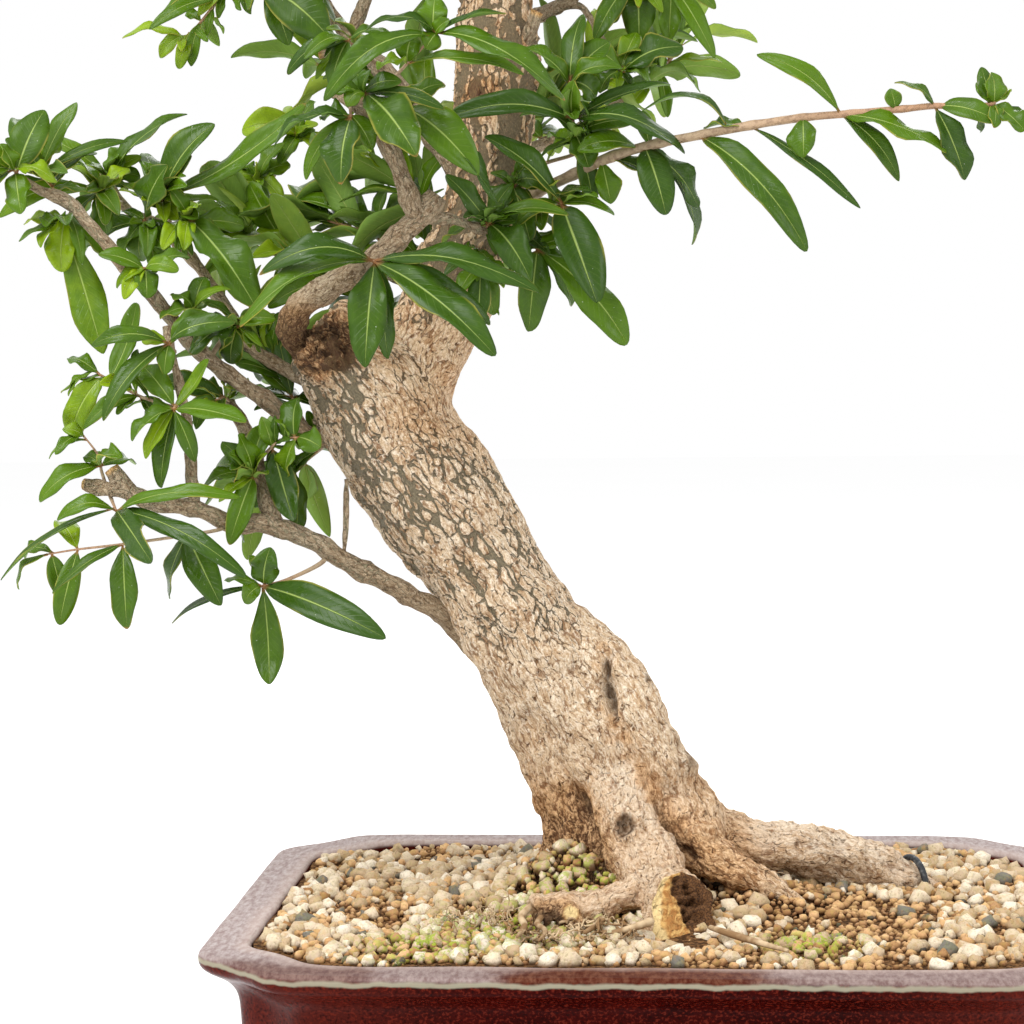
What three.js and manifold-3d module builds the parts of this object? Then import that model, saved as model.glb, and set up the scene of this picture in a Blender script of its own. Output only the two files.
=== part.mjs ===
// Pomegranate bonsai: a leaning, thick trunk with surface roots, planted in a shallow glazed pot.
//
// Millimetres, +Z up. While it is built, the origin is the middle of the pot's footprint on the table, +X
// runs to the right along the pot's long side and +Y to its back. At the end the whole tree is shifted so
// that the origin is the middle of its overall footprint.

import * as THREE from 'three';
import { mergeVertices } from 'three/addons/utils/BufferGeometryUtils.js';
import Module from 'manifold-3d';

const wasm = await Module();
wasm.setup();

// ---------------------------------------------------------------------------------------------
// Driving dimensions
// ---------------------------------------------------------------------------------------------

const FIT_GAP = 0.35; // clearance between neighbouring pieces

const POT_HEIGHT = 100;
const POT_HALF_LENGTH = 188;
const POT_HALF_WIDTH = 141;
const POT_RIM_WIDTH = 20;
const POT_FOOT_HEIGHT = 10;
const POT_FLOOR_TOP = 20;
const FOOT_SIZE = [62, 48];
const FOOT_INSET = 26;
const DRAIN_RADIUS = 11;
const DRAIN_OFFSET = 85;

const SOIL_FRONT_Z = 99;
const SOIL_BACK_Z = 96;
const SOIL_MOUND = 12;
const SOIL_MOUND_CENTRE = [-8, 22];
const SOIL_MOUND_REACH = 58;
const GRAIN_RELIEF = 1.7;
const GRAIN_JITTER = 4; // how far a grain's place varies
const SOIL_CELLS = [22, 16];
const SOIL_SEED = 71;

const WIRE_RADIUS = 1.5;

const LEAF_THICKNESS = 1.1;
const LONG_LEAF = 54; // blades from this length on have three stations, shorter ones two

const SPRAY_CLEARANCE = 4.4; // between blades of two shoots
const BLADE_CLEARANCE = 2.2; // between blades of one shoot
const WOOD_CLEARANCE = 2.4; // between blades and bark

const COLOURS = {
  glaze: 0x5e1a1c,
  grit: 0xc9a878,
  bark: 0xb39770,
  rubber: 0x1d2024,
  leaf: 0x3f7a2c,
};

// ---------------------------------------------------------------------------------------------
// Wood: routes of the bole, the roots and the limbs
// ---------------------------------------------------------------------------------------------

// The bole: middle of the stem and its radius, from the root mass below the soil up to the shoulder.
const BOLE = [
  [4, 30, 62, 26], [0, 30, 82, 34], [-7, 30, 101, 37], [-14, 30, 122, 34], [-20, 28, 143, 32],
  [-32, 26, 168, 30.5],
  [-49, 24, 196, 28], [-61, 22, 216, 26.5], [-81, 20, 248, 25], [-100, 20, 275, 29.5], [-116, 20, 300, 29],
  [-128, 17, 322, 28], [-140, 14, 338, 24], [-152, 11, 349, 20],
];
// The leader, which takes over from the shoulder and ends in the crown.
const LEADER = [
  [-110, 20, 292, 24], [-116, 23, 312, 21], [-108, 26, 335, 18.5], [-97, 28, 359, 19.5], [-88, 30, 380, 19],
  [-80, 30, 402, 17], [-75, 30, 424, 16.5], [-72, 30, 453, 18.5], [-71, 30, 497, 16], [-73, 28, 530, 12],
  [-77, 26, 562, 9], [-79, 26, 590, 6], [-78, 26, 612, 3.2],
];
// The buttress on the right of the bole, with a deep cleft between the two.
const BUTTRESS = [
  [-38, 18, 222, 6], [-26, 12, 205, 11], [-15, 8, 187, 13], [-6, 8, 169, 14], [3, 10, 146, 14],
  [13, 16, 127, 15], [20, 20, 108, 13], [24, 22, 92, 9],
];
const ROOTS = {
  front: [
    [-20, 14, 158, 15], [-15, 6, 142, 18], [-11, -10, 125, 16.5], [-5, -26, 115, 14], [2, -40, 109, 12],
    [6, -52, 108, 11.5],
  ],
  front_left_arm: [[-5, -26, 114, 9], [-18, -36, 109, 7.5], [-31, -42, 106, 7], [-44, -46, 105, 6.5],
    [-52, -48, 103, 5.5]],
  front_right: [[10, 6, 136, 14], [19, -5, 122, 11], [34, -13, 114, 8], [48, -17, 108, 6.5],
    [62, -20, 101, 5], [74, -23, 92, 3]],
  right: [
    [10, 26, 132, 14], [24, 25, 124, 11], [40, 23, 120, 10.5], [60, 27, 119, 9.5], [80, 31, 112, 9.5],
    [96, 36, 106, 9], [109, 40, 100, 8], [124, 45, 90, 6],
  ],
  left: [[-32, 28, 142, 18], [-40, 27, 124, 13], [-46, 26, 109, 12], [-51, 25, 94, 9]],
  back: [[-8, 44, 130, 18], [-12, 62, 115, 12], [-18, 80, 103, 8], [-24, 96, 92, 5]],
};
// Branches and pruning stubs, each with its radius at the foot and at the tip.
const LIMBS = {
  low_branch: [[4.8, 3.2], [
    [-76, 22, 204], [-89, 22, 214], [-98, 14, 225], [-115, 4, 236], [-138, -8, 251], [-156, -16, 262],
    [-171, -22, 268], [-183, -24, 268], [-197, -28, 274], [-212, -32, 277], [-224, -36, 281],
    [-234, -38, 284],
  ]],
  low_branch_knot: [[3.2, 2.6], [[-231, -38, 283], [-247, -30, 286]]],
  low_branch_stub: [[3.8, 3.3], [[-224, -36, 279], [-233, -38, 293]]],
  low_riser: [[4, 2.4], [[-166, -21, 268], [-173, -12, 286], [-182, -2, 308], [-189, 4, 320]]],
  low_sprig: [[2.6, 1.7], [
    [-199, -28, 274], [-200, -30, 289], [-201, -32, 310], [-204, -32, 326], [-207, -30, 338],
    [-210, -28, 353],
  ]],
  dead_twig: [[1.5, 1], [[-138, -8, 251], [-137, -6, 272], [-137, -4, 286]]],
  left_branch: [[4.4, 2], [
    [-136, 19, 296], [-147, 20, 302], [-157, 10, 306], [-176, -4, 323], [-198, -14, 342], [-216, -20, 364],
    [-227, -24, 378], [-240, -26, 393], [-251, -26, 405], [-262, -26, 411], [-271, -28, 416],
  ]],
  left_stub: [[3, 2.2], [
    [-146, 16, 326], [-161, 20, 331], [-182, 26, 343], [-190, 30, 354], [-208, 38, 379], [-218, 40, 390],
    [-225, 42, 399], [-241, 42, 407], [-255, 42, 423], [-266, 42, 436],
  ]],
  front_branch: [[6.5, 4.4], [
    [-149, 8, 340], [-160, -4, 350], [-154, -18, 361], [-140, -26, 369], [-124, -32, 377], [-111, -34, 388],
    [-99, -34, 398], [-92, -34, 407],
  ]],
  front_riser: [[4.2, 2.2], [
    [-101, -34, 396], [-106, -38, 413], [-112, -42, 427], [-120, -44, 439], [-127, -44, 445],
    [-136, -42, 450],
  ]],
  front_cross_twig: [[2.7, 2], [[-99, -33, 398], [-86, -22, 397], [-73, -6, 392]]],
  upper_left: [[5.4, 2.2], [
    [-82, 30, 412], [-98, 34, 434], [-118, 40, 462], [-130, 46, 475], [-142, 50, 487], [-152, 54, 500],
    [-163, 56, 516], [-179, 58, 526],
  ]],
  upper_left_fork: [[3.1, 1.9], [[-140, 50, 484], [-131, 50, 504], [-123, 48, 523]]],
  upper_left_stub: [[1.8, 1.5], [[-134, 47, 479], [-153, 44, 476]]],
  upper_right: [[3.6, 1.9], [[-70, 28, 474], [-57, 40, 489], [-44, 56, 498], [-26, 56, 509], [-8, 48, 513],
    [9, 42, 515]]],
  drooping_twig: [[2, 1.4], [[-46, 54, 497], [-34, 50, 496], [-24, 30, 478], [-18, 14, 465]]],
  sawn_stub: [[3.2, 3], [[-68, 26, 474], [-57, 17, 479], [-52, 13, 489]]],
  back_left: [[4.2, 1.9], [
    [-96, 30, 356], [-104, 54, 370], [-141, 78, 384], [-176, 90, 397], [-185, 98, 412], [-187, 105, 426],
    [-178, 112, 442],
  ]],
  back_right: [[3.8, 1.9], [[-80, 34, 418], [-62, 62, 432], [-36, 86, 446], [-14, 102, 460]]],
  crown_left: [[5, 2], [[-72, 29, 508], [-108, 18, 534], [-146, 8, 548], [-176, 2, 556]]],
  crown_right: [[5, 2], [[-72, 29, 518], [-34, 16, 542], [2, 6, 556], [34, -2, 562]]],
  crown_front: [[4.2, 1.8], [[-74, 28, 543], [-72, -4, 566], [-70, -36, 578]]],
  crown_back: [[4.6, 1.8], [[-74, 27, 530], [-78, 62, 554], [-82, 94, 566]]],
};

// ---------------------------------------------------------------------------------------------
// Leafy shoots
// ---------------------------------------------------------------------------------------------

// One row for each shoot: name, the points its twig runs through, the twig's radius, its leaves.
// A leaf is [place along the twig 0..1, heading, lean, length, width, bow]. The heading is in degrees in the
// XZ plane, 0 to the right and 90 up. The lean turns it out of that plane, to the front where it is above 0.
// The bow is how far the midrib arches off its chord.
const SHOOTS = [
  ["long_shoot", [
    [-70, 26, 404], [-57, 18, 409], [-43, 8, 415], [-23, -2, 423], [-5, -8, 428], [14, -16, 431],
    [35, -22, 434],
    [60, -28, 437], [80, -32, 438], [101, -36, 439], [115, -38, 440], [128, -40, 439], [139, -42, 440],
  ], 2.8, [
    [0.25, -78, 5, 19, 13, 2], [0.26, -26, -5, 29, 12, 4], [0.33, 180, 10, 27, 12, 4],
    [0.34, -72, 20, 32, 17, 3], [0.34, -48, -8, 36, 14, 4], [0.35, -58, -22, 60, 11, 5],
    [0.35, 102, -10, 16, 8, 2], [0.45, -44, 22, 69, 15, 6], [0.51, 160, 5, 37, 9, 10],
    [0.55, -38, 12, 59, 7, 3],
    [0.54, 178, -25, 19, 9, 2], [0.65, -90, 20, 18, 15, 2],
    [0.72, 144, 5, 43, 9, 9], [0.72, -18, 20, 47, 12, 3], [0.72, -46, 0, 37, 10, 4],
    [0.82, 104, 10, 9, 8, 1], [0.89, 146, 5, 19, 6, 4],
    [0.89, -66, 8, 33, 14, 3], [0.9, -18, 22, 25, 11, 3], [0.95, -24, 15, 33, 12, 4],
    [0.95, -56, -10, 12, 9, 2], [1, 94, 5, 13, 12, 2], [1, 44, 15, 13, 8, 2],
  ]],
  ["low_branch_tip", [[-234, -36, 280], [-230, -44, 275]], 1.3, [
    [1, 8, 12, 56, 8, 7], [1, -20, 25, 70, 10, 6], [1, -36, 42, 53, 14, 2], [1, -150, 10, 57, 7, 5],
    [1, -176, 20, 25, 9, 7],
  ]],
  ["low_branch_twig", [[-188, -27, 266], [-202, -38, 264], [-227, -46, 261], [-246, -47, 259],
    [-259, -47, 257]], 1.0, [
    [0.22, -58, 30, 36, 16, 2], [0.22, -114, -15, 32, 13, 2], [0.58, -86, 10, 36, 14, 2],
    [0.58, -146, 25, 36, 7, 4], [0.83, -104, 8, 33, 12, 2], [0.83, 134, 0, 22, 12, 3],
    [1, -82, -20, 21, 10, 2], [1, -176, 8, 21, 7, 4], [1, -148, 25, 22, 5, 5],
  ]],
  ["low_branch_under", [[-147, -14, 250], [-160, -30, 244], [-170, -36, 242]], 1.4, [
    [1, -18, 28, 68, 17, 6], [1, -86, 10, 42, 16, -4], [1, 78, 20, 18, 15, 2], [1, 124, 5, 17, 6, 2],
    [1, 172, -12, 20, 6, 3], [1, -158, -20, 50, 6, 5],
  ]],
  ["low_stub_sprout", [[-237, -34, 286], [-239, -32, 292], [-240, -32, 298], [-246, -34, 307]], 1.0, [
    [0.35, -150, 15, 30, 11, 6], [0.35, 28, 22, 20, 11, 3], [0.35, 8, 0, 18, 10, 3],
    [1, -158, 10, 18, 5, 4], [1, -142, 25, 16, 6, 3],
  ]],
  ["low_sprig_foot", [[-204, -32, 322], [-205, -42, 318]], 1.3, [
    [1, -8, 28, 39, 13, 3], [1, -144, 30, 23, 10, 3], [1, -120, 22, 25, 9, 2], [1, -102, 5, 35, 12, 2],
    [1, -84, 12, 24, 9, 2], [1, -154, -22, 21, 12, 3], [1, 58, 5, 25, 8, -3], [1, 130, -16, 25, 13, 2],
  ]],
  ["low_sprig_side", [[-206, -28, 318], [-222, -27, 323], [-235, -26, 330], [-244, -26, 335]], 1.0, [
    [0.42, -152, 18, 28, 8, 4], [0.78, 72, 0, 35, 11, -4], [0.86, -120, 5, 31, 14, 5],
    [0.42, -72, -25, 23, 14, 2],
  ]],
  ["low_sprig_middle", [[-207, -29, 342], [-208, -37, 346]], 1.3, [
    [1, -180, 15, 32, 9, 8], [1, -132, 22, 43, 11, 4], [1, -94, 35, 14, 9, 1], [1, 38, -10, 22, 12, 4],
    [1, 18, 15, 32, 11, 5],
  ]],
  ["left_branch_dark", [[-186, 4, 356], [-183, -8, 353]], 1.3, [
    [1, -166, 8, 28, 13, 6], [1, -152, 32, 28, 12, 3], [1, -134, -10, 23, 13, 2], [1, 10, 15, 18, 10, 3],
    [1, -48, -5, 15, 9, 2],
  ]],
  ["low_riser_top", [[-189, 6, 319], [-190, -4, 322], [-193, -12, 321]], 1.0, [
    [0.6, 164, 10, 30, 13, 4], [1, -126, 20, 17, 10, 3], [0.6, 36, -12, 20, 11, 2],
  ]],
  ["low_riser_foot", [[-174, -14, 285], [-175, -22, 289]], 1.3, [
    [1, -174, 15, 22, 9, 3], [1, -108, 0, 32, 12, 2], [1, -92, -18, 36, 10, 2], [1, 126, 5, 21, 12, 3],
    [1, 100, 25, 23, 12, 2], [1, 172, -15, 25, 10, 4],
  ]],
  ["low_riser_hanging", [[-169, -18, 299], [-163, -20, 304], [-155, -24, 305]], 1.0, [
    [0.15, -72, 8, 34, 15, -3], [0.15, 104, 15, 14, 9, 2],
  ]],
  ["left_branch_end", [[-268, -24, 414], [-272, -30, 418]], 1.3, [
    [1, 148, 12, 21, 9, 5], [1, -10, 18, 21, 10, 4], [1, -74, 32, 22, 14, 1], [1, 70, -15, 31, 18, 3],
    [1, -138, 5, 35, 15, 4], [1, 104, 25, 14, 9, 2],
  ]],
  ["left_branch_upper", [[-261, -10, 412], [-268, -12, 420]], 1.3, [
    [1, 62, 0, 35, 11, 2], [1, 26, 8, 40, 6, 4], [1, 8, 25, 25, 8, 2], [0.6, 36, -20, 26, 9, 3],
    [1, 118, -22, 37, 17, 3],
  ]],
  ["left_stub_long", [[-246, 34, 411], [-248, 22, 414], [-247, 10, 414]], 1.3, [
    [1, -166, 22, 46, 11, 9], [1, -128, 28, 31, 10, 3], [1, -82, 5, 19, 12, 2], [1, 142, 0, 22, 10, 3],
  ]],
  ["left_branch_hanging", [[-253, -18, 403], [-256, -22, 399]], 1.3, [
    [1, -74, 6, 59, 19, -5], [1, 178, -8, 19, 12, 2], [1, -94, -15, 23, 14, 3], [0.6, -46, 0, 27, 11, 2],
    [1, -130, 30, 15, 12, 2],
  ]],
  ["left_stub_fork", [[-249, 40, 418], [-247, 28, 421]], 1.3, [
    [1, 44, 0, 45, 11, 4], [1, 150, 10, 41, 10, 8], [1, -136, 20, 21, 9, 3],
  ]],
  ["left_stub_middle", [[-228, 30, 399], [-228, 14, 401]], 1.3, [
    [1, 66, 35, 30, 20, 1], [1, -166, 25, 42, 14, 6], [1, -124, 20, 21, 12, 2], [1, -58, 5, 22, 9, 3],
  ]],
  ["left_stub_upper", [[-221, 34, 401], [-222, 22, 408], [-220, 14, 411]], 1.3, [
    [1, 56, 8, 40, 18, 3], [1, 32, 12, 79, 13, -6], [0.6, -30, 10, 18, 9, 2], [1, 116, -28, 34, 12, 3],
    [0.6, 8, 20, 26, 6, 2],
  ]],
  ["left_stub_foot", [[-215, 34, 395], [-207, 8, 401]], 1.3, [
    [1, -48, 26, 56, 21, 4], [1, -36, 0, 15, 10, 2], [1, -82, 30, 23, 9, 2], [0.6, 0, -20, 26, 12, 3],
    [1, 120, 10, 16, 8, 2],
  ]],
  ["left_branch_middle", [[-221, -12, 370], [-219, -24, 373]], 1.3, [
    [1, -4, 22, 17, 9, 3], [1, -82, 25, 14, 12, 2], [1, 156, -10, 21, 10, 2], [1, 24, -15, 20, 9, 3],
  ]],
  ["left_branch_inner", [[-202, -2, 353], [-200, -20, 360]], 1.3, [
    [1, 24, 15, 19, 9, 3], [1, -2, 30, 14, 11, 2], [1, -168, 20, 16, 10, 4],
  ]],
  ["back_left_foot", [[-182, 92, 404], [-190, 96, 407], [-196, 98, 408]], 1.0, [
    [1, -154, 8, 21, 11, 3], [0.5, -128, 0, 26, 9, 3],
  ]],
  ["back_left_middle", [[-186, 104, 417], [-188, 102, 421]], 1.3, [
    [1, -160, 10, 25, 14, 3], [1, -38, 5, 22, 10, 3], [1, -76, 22, 31, 14, 2], [1, 56, 20, 22, 10, 3],
  ]],
  ["back_left_top", [[-179, 112, 439], [-177, 112, 443]], 1.3, [
    [1, 172, 8, 27, 18, 5], [1, -132, 20, 21, 9, 2], [1, -24, 5, 23, 12, 3], [1, 112, -25, 21, 11, 3],
  ]],
  ["front_branch_hand", [[-115, -30, 382], [-119, -42, 379]], 1.3, [
    [1, -176, 18, 48, 13, 12], [1, -158, 22, 63, 13, 8], [1, -94, 22, 46, 19, 3], [1, -84, -5, 42, 14, 2],
    [1, -36, 28, 75, 18, 7], [1, -6, 22, 74, 14, 7], [1, -26, 2, 55, 12, 6], [1, -170, 2, 42, 10, 6],
  ]],
  ["front_riser_hanging", [[-127, -46, 443], [-126, -54, 438]], 1.3, [
    [1, -98, 18, 29, 19, 3], [1, -162, 10, 34, 9, 6], [1, -134, -10, 34, 9, 3], [1, -58, -8, 17, 12, 3],
  ]],
  ["front_riser_face", [[-123, -46, 445], [-120, -54, 448]], 1.3, [
    [1, -50, 28, 41, 22, 4], [1, 14, 22, 18, 10, 3], [1, 178, 0, 15, 8, 4], [1, -10, 12, 37, 7, 4],
  ]],
  ["front_riser_foot", [[-108, -34, 440], [-105, -42, 443]], 1.3, [
    [1, -40, 20, 44, 20, 5], [1, -44, 6, 56, 13, 5], [1, -104, -8, 38, 10, 3], [1, 36, -12, 21, 11, 3],
  ]],
  ["front_riser_top", [[-115, -44, 448], [-103, -48, 460], [-90, -52, 472]], 1.2, [
    [1, -26, 22, 63, 14, 9], [1, 12, 15, 33, 8, 3], [1, -152, 18, 53, 12, 12], [1, 88, 10, 17, 14, 2],
    [1, 174, 5, 29, 8, 6], [0.5, -6, 12, 50, 8, 5], [0.5, -164, 18, 18, 10, 3],
  ]],
  ["upper_left_inner", [[-130, 20, 474], [-134, 4, 476], [-133, -6, 476]], 1.3, [
    [1, -156, 12, 30, 8, 5], [1, -158, 28, 24, 8, 4], [1, 10, 0, 19, 8, 4], [1, -164, -15, 29, 12, 4],
    [1, -110, 5, 23, 12, 2], [1, -92, 30, 23, 10, 2],
  ]],
  ["upper_left_big", [[-153, 52, 508], [-161, 40, 510], [-177, 34, 506]], 1.1, [
    [1, -34, 26, 42, 24, 3], [1, -66, 5, 29, 14, 2], [1, -126, 0, 14, 11, 2], [1, 148, 0, 22, 11, 3],
    [0.5, 84, 0, 18, 13, 3], [0.5, -46, -20, 26, 12, 2],
  ]],
  ["upper_left_end", [[-181, 58, 525], [-199, 46, 502], [-209, 44, 490], [-215, 44, 485]], 1.0, [
    [1, 174, 8, 28, 8, 4], [0.55, -154, 12, 37, 8, 4], [1, -140, 20, 16, 8, 3], [0.8, -106, 5, 21, 8, 3],
    [0.4, -164, -10, 40, 9, 3], [0.2, 146, 0, 17, 10, 3], [0.2, -86, 10, 21, 11, 2],
  ]],
  ["long_shoot_fork", [[-62, 24, 421], [-47, 14, 424], [-35, 6, 427], [-35, -2, 432], [-36, -8, 440],
    [-38, -10, 450], [-37, -12, 456]], 1.1, [
    [0.76, 178, 12, 55, 13, 9], [0.76, -16, 20, 51, 15, 10], [0.77, 86, 38, 18, 12, 2],
    [0.76, 22, 0, 45, 10, 3], [0.65, 156, 8, 25, 9, 6], [0.65, -68, 42, 16, 15, 1],
    [1, 140, 12, 25, 11, 4], [1, 16, 18, 25, 10, 6], [1, 82, 0, 32, 13, 3], [1, 48, 5, 25, 15, 2],
  ]],
  ["leader_glossy", [[-63, 17, 402], [-47, 3, 405], [-41, -8, 404]], 1.3, [
    [1, 136, 15, 44, 14, 4], [1, -70, 22, 48, 22, 3], [1, -12, 8, 24, 9, 4], [1, -160, 20, 21, 8, 3],
  ]],
  ["cross_twig_top", [[-75, -6, 393], [-72, -14, 396]], 1.3, [
    [1, 10, 12, 34, 8, 5], [1, -50, 28, 33, 17, 4], [1, 130, 10, 28, 11, 3],
  ]],
  ["leader_inner", [[-61, 14, 412], [-63, 0, 413]], 1.3, [
    [1, -8, 25, 18, 11, 5], [1, -72, 18, 27, 14, 2], [1, -140, 0, 15, 9, 3], [1, -24, -15, 23, 9, 3],
  ]],
  ["leader_drooping", [[-66, 20, 395], [-56, 8, 391], [-52, -4, 385]], 1.3, [
    [1, -44, 10, 57, 18, 4], [1, -96, 15, 36, 16, 2], [1, -56, -14, 32, 13, 3],
  ]],
  ["cross_twig_hanging", [[-79, -4, 387], [-76, -14, 378]], 1.3, [
    [1, -92, 15, 27, 12, 2], [1, -76, -8, 23, 11, 2], [1, -124, 30, 20, 9, 2],
  ]],
  ["drooping_twig_tuft", [[-22, 22, 470], [-15, 10, 462]], 1.1, [
    [1, 26, 10, 28, 17, 3], [1, -26, 20, 15, 9, 3], [1, -134, 12, 14, 12, 3], [1, 68, -20, 22, 11, 3],
    [1, 146, -5, 21, 10, 3],
  ]],
  ["upper_right_tufts", [[-24, 44, 511], [-8, 38, 507], [7, 34, 505]], 1.1, [
    [0.5, -88, 12, 31, 18, 3], [1, -92, 0, 27, 12, 2], [0.5, -120, -8, 23, 11, 2], [1, -60, 8, 43, 11, 3],
    [1, -32, -18, 24, 8, 2], [0.5, -126, 5, 36, 12, 3], [1, 44, 10, 21, 11, 4],
  ]],
];

// Shoots of the crown and the back: name, twig, radius and number of leaves, which a rule places.
const RULED_SHOOTS = [
  ["crown_left_end", [[-176, 2, 556], [-196, -4, 570], [-210, -8, 584]], 1.3, 7],
  ["crown_left_mid", [[-128, 12, 541], [-134, -4, 560], [-138, -12, 582]], 1.3, 7],
  ["crown_right_end", [[34, -2, 562], [54, -8, 574], [68, -12, 588]], 1.3, 7],
  ["crown_right_mid", [[-16, 10, 549], [-10, -6, 566], [-6, -14, 588]], 1.3, 7],
  ["crown_front_end", [[-70, -36, 578], [-68, -54, 590], [-66, -64, 604]], 1.3, 7],
  ["crown_front_mid", [[-73, 6, 558], [-92, -8, 578], [-104, -14, 596]], 1.3, 7],
  ["crown_back_end", [[-82, 94, 566], [-86, 112, 578], [-88, 122, 592]], 1.3, 7],
  ["crown_back_mid", [[-78, 56, 550], [-60, 66, 570], [-48, 70, 590]], 1.3, 7],
  ["crown_top", [[-78, 26, 610], [-78, 24, 628], [-80, 22, 642]], 1.4, 8],
  ["crown_upper_right", [[-78, 26, 578], [-56, 28, 596], [-42, 28, 614]], 1.3, 6],
  ["crown_upper_left", [[-78, 26, 584], [-100, 36, 600], [-114, 40, 616]], 1.3, 6],
  ["back_right_end", [[-14, 102, 460], [0, 112, 472], [10, 118, 486]], 1.3, 7],
  ["back_right_mid", [[-52, 72, 437], [-58, 92, 444], [-62, 108, 454]], 1.3, 6],
];

// ---------------------------------------------------------------------------------------------
// Closed solids
// ---------------------------------------------------------------------------------------------

/** The solid inside a closed geometry. */
function solidFrom(geometry) {
  const bare = new THREE.BufferGeometry();
  bare.setAttribute('position', geometry.getAttribute('position').clone());
  if (geometry.index) bare.setIndex(geometry.index.clone());
  const merged = mergeVertices(bare, 1e-4);
  const vertProperties = new Float32Array(merged.getAttribute('position').array);
  const triVerts = new Uint32Array(merged.index.array);
  return new wasm.Manifold(new wasm.Mesh({ numProp: 3, vertProperties, triVerts }));
}

/** The solid with these corners and outward triangles. */
function solid(corners, triangles) {
  const geometry = new THREE.BufferGeometry();
  const flat = corners.flatMap((corner) => [corner.x, corner.y, corner.z]);
  geometry.setAttribute('position', new THREE.Float32BufferAttribute(flat, 3));
  geometry.setIndex(triangles.flat());
  return solidFrom(geometry);
}

/** A skin over rings of equally many corners, closed by a fan at each end. */
function loft(rings) {
  const count = rings[0].length;
  const corners = rings.flat();
  const triangles = [];
  for (let level = 0; level + 1 < rings.length; level++) {
    for (let i = 0; i < count; i++) {
      const a = level * count + i;
      const b = level * count + ((i + 1) % count);
      triangles.push([a, b, b + count], [a, b + count, a + count]);
    }
  }
  for (const level of [0, rings.length - 1]) {
    const middle = rings[level].reduce((sum, corner) => sum.add(corner), new THREE.Vector3());
    corners.push(middle.divideScalar(count));
    for (let i = 0; i < count; i++) {
      const a = level * count + i;
      const b = level * count + ((i + 1) % count);
      triangles.push(level === 0 ? [b, a, corners.length - 1] : [a, b, corners.length - 1]);
    }
  }
  return solid(corners, triangles);
}

/** A round rod through the stations [point, radius], its outline scaled by swell(angle, station). */
function rod(stations, sides, swell = () => 1) {
  let across = new THREE.Vector3(0.13, 1, 0.21);
  const rings = stations.map(([point, radius], i) => {
    const before = stations[Math.max(0, i - 1)][0];
    const after = stations[Math.min(stations.length - 1, i + 1)][0];
    const along = after.clone().sub(before).normalize();
    across = across.clone().addScaledVector(along, -across.dot(along)).normalize();
    const third = new THREE.Vector3().crossVectors(along, across);
    return Array.from({ length: sides }, (_, k) => {
      const angle = (k * 2 * Math.PI) / sides;
      const reach = radius * swell(angle, i);
      const corner = point.clone().addScaledVector(across, reach * Math.cos(angle));
      return corner.addScaledVector(third, reach * Math.sin(angle));
    });
  });
  return loft(rings);
}

/** The seeded random numbers 0..1 that every draw here comes from. */
function randomFrom(seed) {
  let state = seed >>> 0;
  return () => {
    state = (state + 0x6d2b79f5) >>> 0;
    let t = Math.imul(state ^ (state >>> 15), state | 1);
    t = (t + Math.imul(t ^ (t >>> 7), t | 61)) ^ t;
    return ((t ^ (t >>> 14)) >>> 0) / 4294967296;
  };
}

const vector = ([x, y, z]) => new THREE.Vector3(x, y, z);
const unionOf = (solids) => solids.reduce((whole, piece) => whole.add(piece));

/** The largest of the separate bodies in a solid. */
function mainBody(whole) {
  const bodies = whole.decompose();
  return bodies.reduce((best, body) => (body.volume() > best.volume() ? body : best));
}

// ---------------------------------------------------------------------------------------------
// Pot
// ---------------------------------------------------------------------------------------------

// One corner of the lip, as distances in from the pot's right side and its back: a notched corner that bulges
// out, dips in and bulges out again.
const POT_CORNER = [[0, 46], [1.5, 38], [7, 30.5], [17, 22.5], [24, 15], [31, 7], [39, 2.5], [56, 0]];
// The outside from the foot up to the rim, the rim, and the inside down to the floor: [distance in, height].
const POT_OUTSIDE = [
  [24, 10], [18, 22], [15.6, 70], [14.5, 79], [12, 84.5], [8, 88.5], [3, 91.5], [0.6, 95], [0, 98],
  [1.5, 100],
];
const POT_INSIDE = [
  [POT_RIM_WIDTH - 1.5, POT_HEIGHT], [POT_RIM_WIDTH, POT_HEIGHT - 2], [POT_RIM_WIDTH + 0.5, 80],
  [POT_RIM_WIDTH + 3, POT_FLOOR_TOP],
];

/** The pot's outline seen from above, drawn in by a distance, at a height. */
function potRing(inset, height) {
  const quarter = POT_CORNER.map(([inX, inY]) => [POT_HALF_LENGTH - inX, POT_HALF_WIDTH - inY]);
  const back = quarter.concat(quarter.toReversed().map(([x, y]) => [-x, y]));
  const whole = back.concat(back.map(([x, y]) => [-x, -y]));
  const shrinkX = (POT_HALF_LENGTH - inset) / POT_HALF_LENGTH;
  const shrinkY = (POT_HALF_WIDTH - inset) / POT_HALF_WIDTH;
  return whole.map(([x, y]) => new THREE.Vector3(x * shrinkX, y * shrinkY, height));
}

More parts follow.
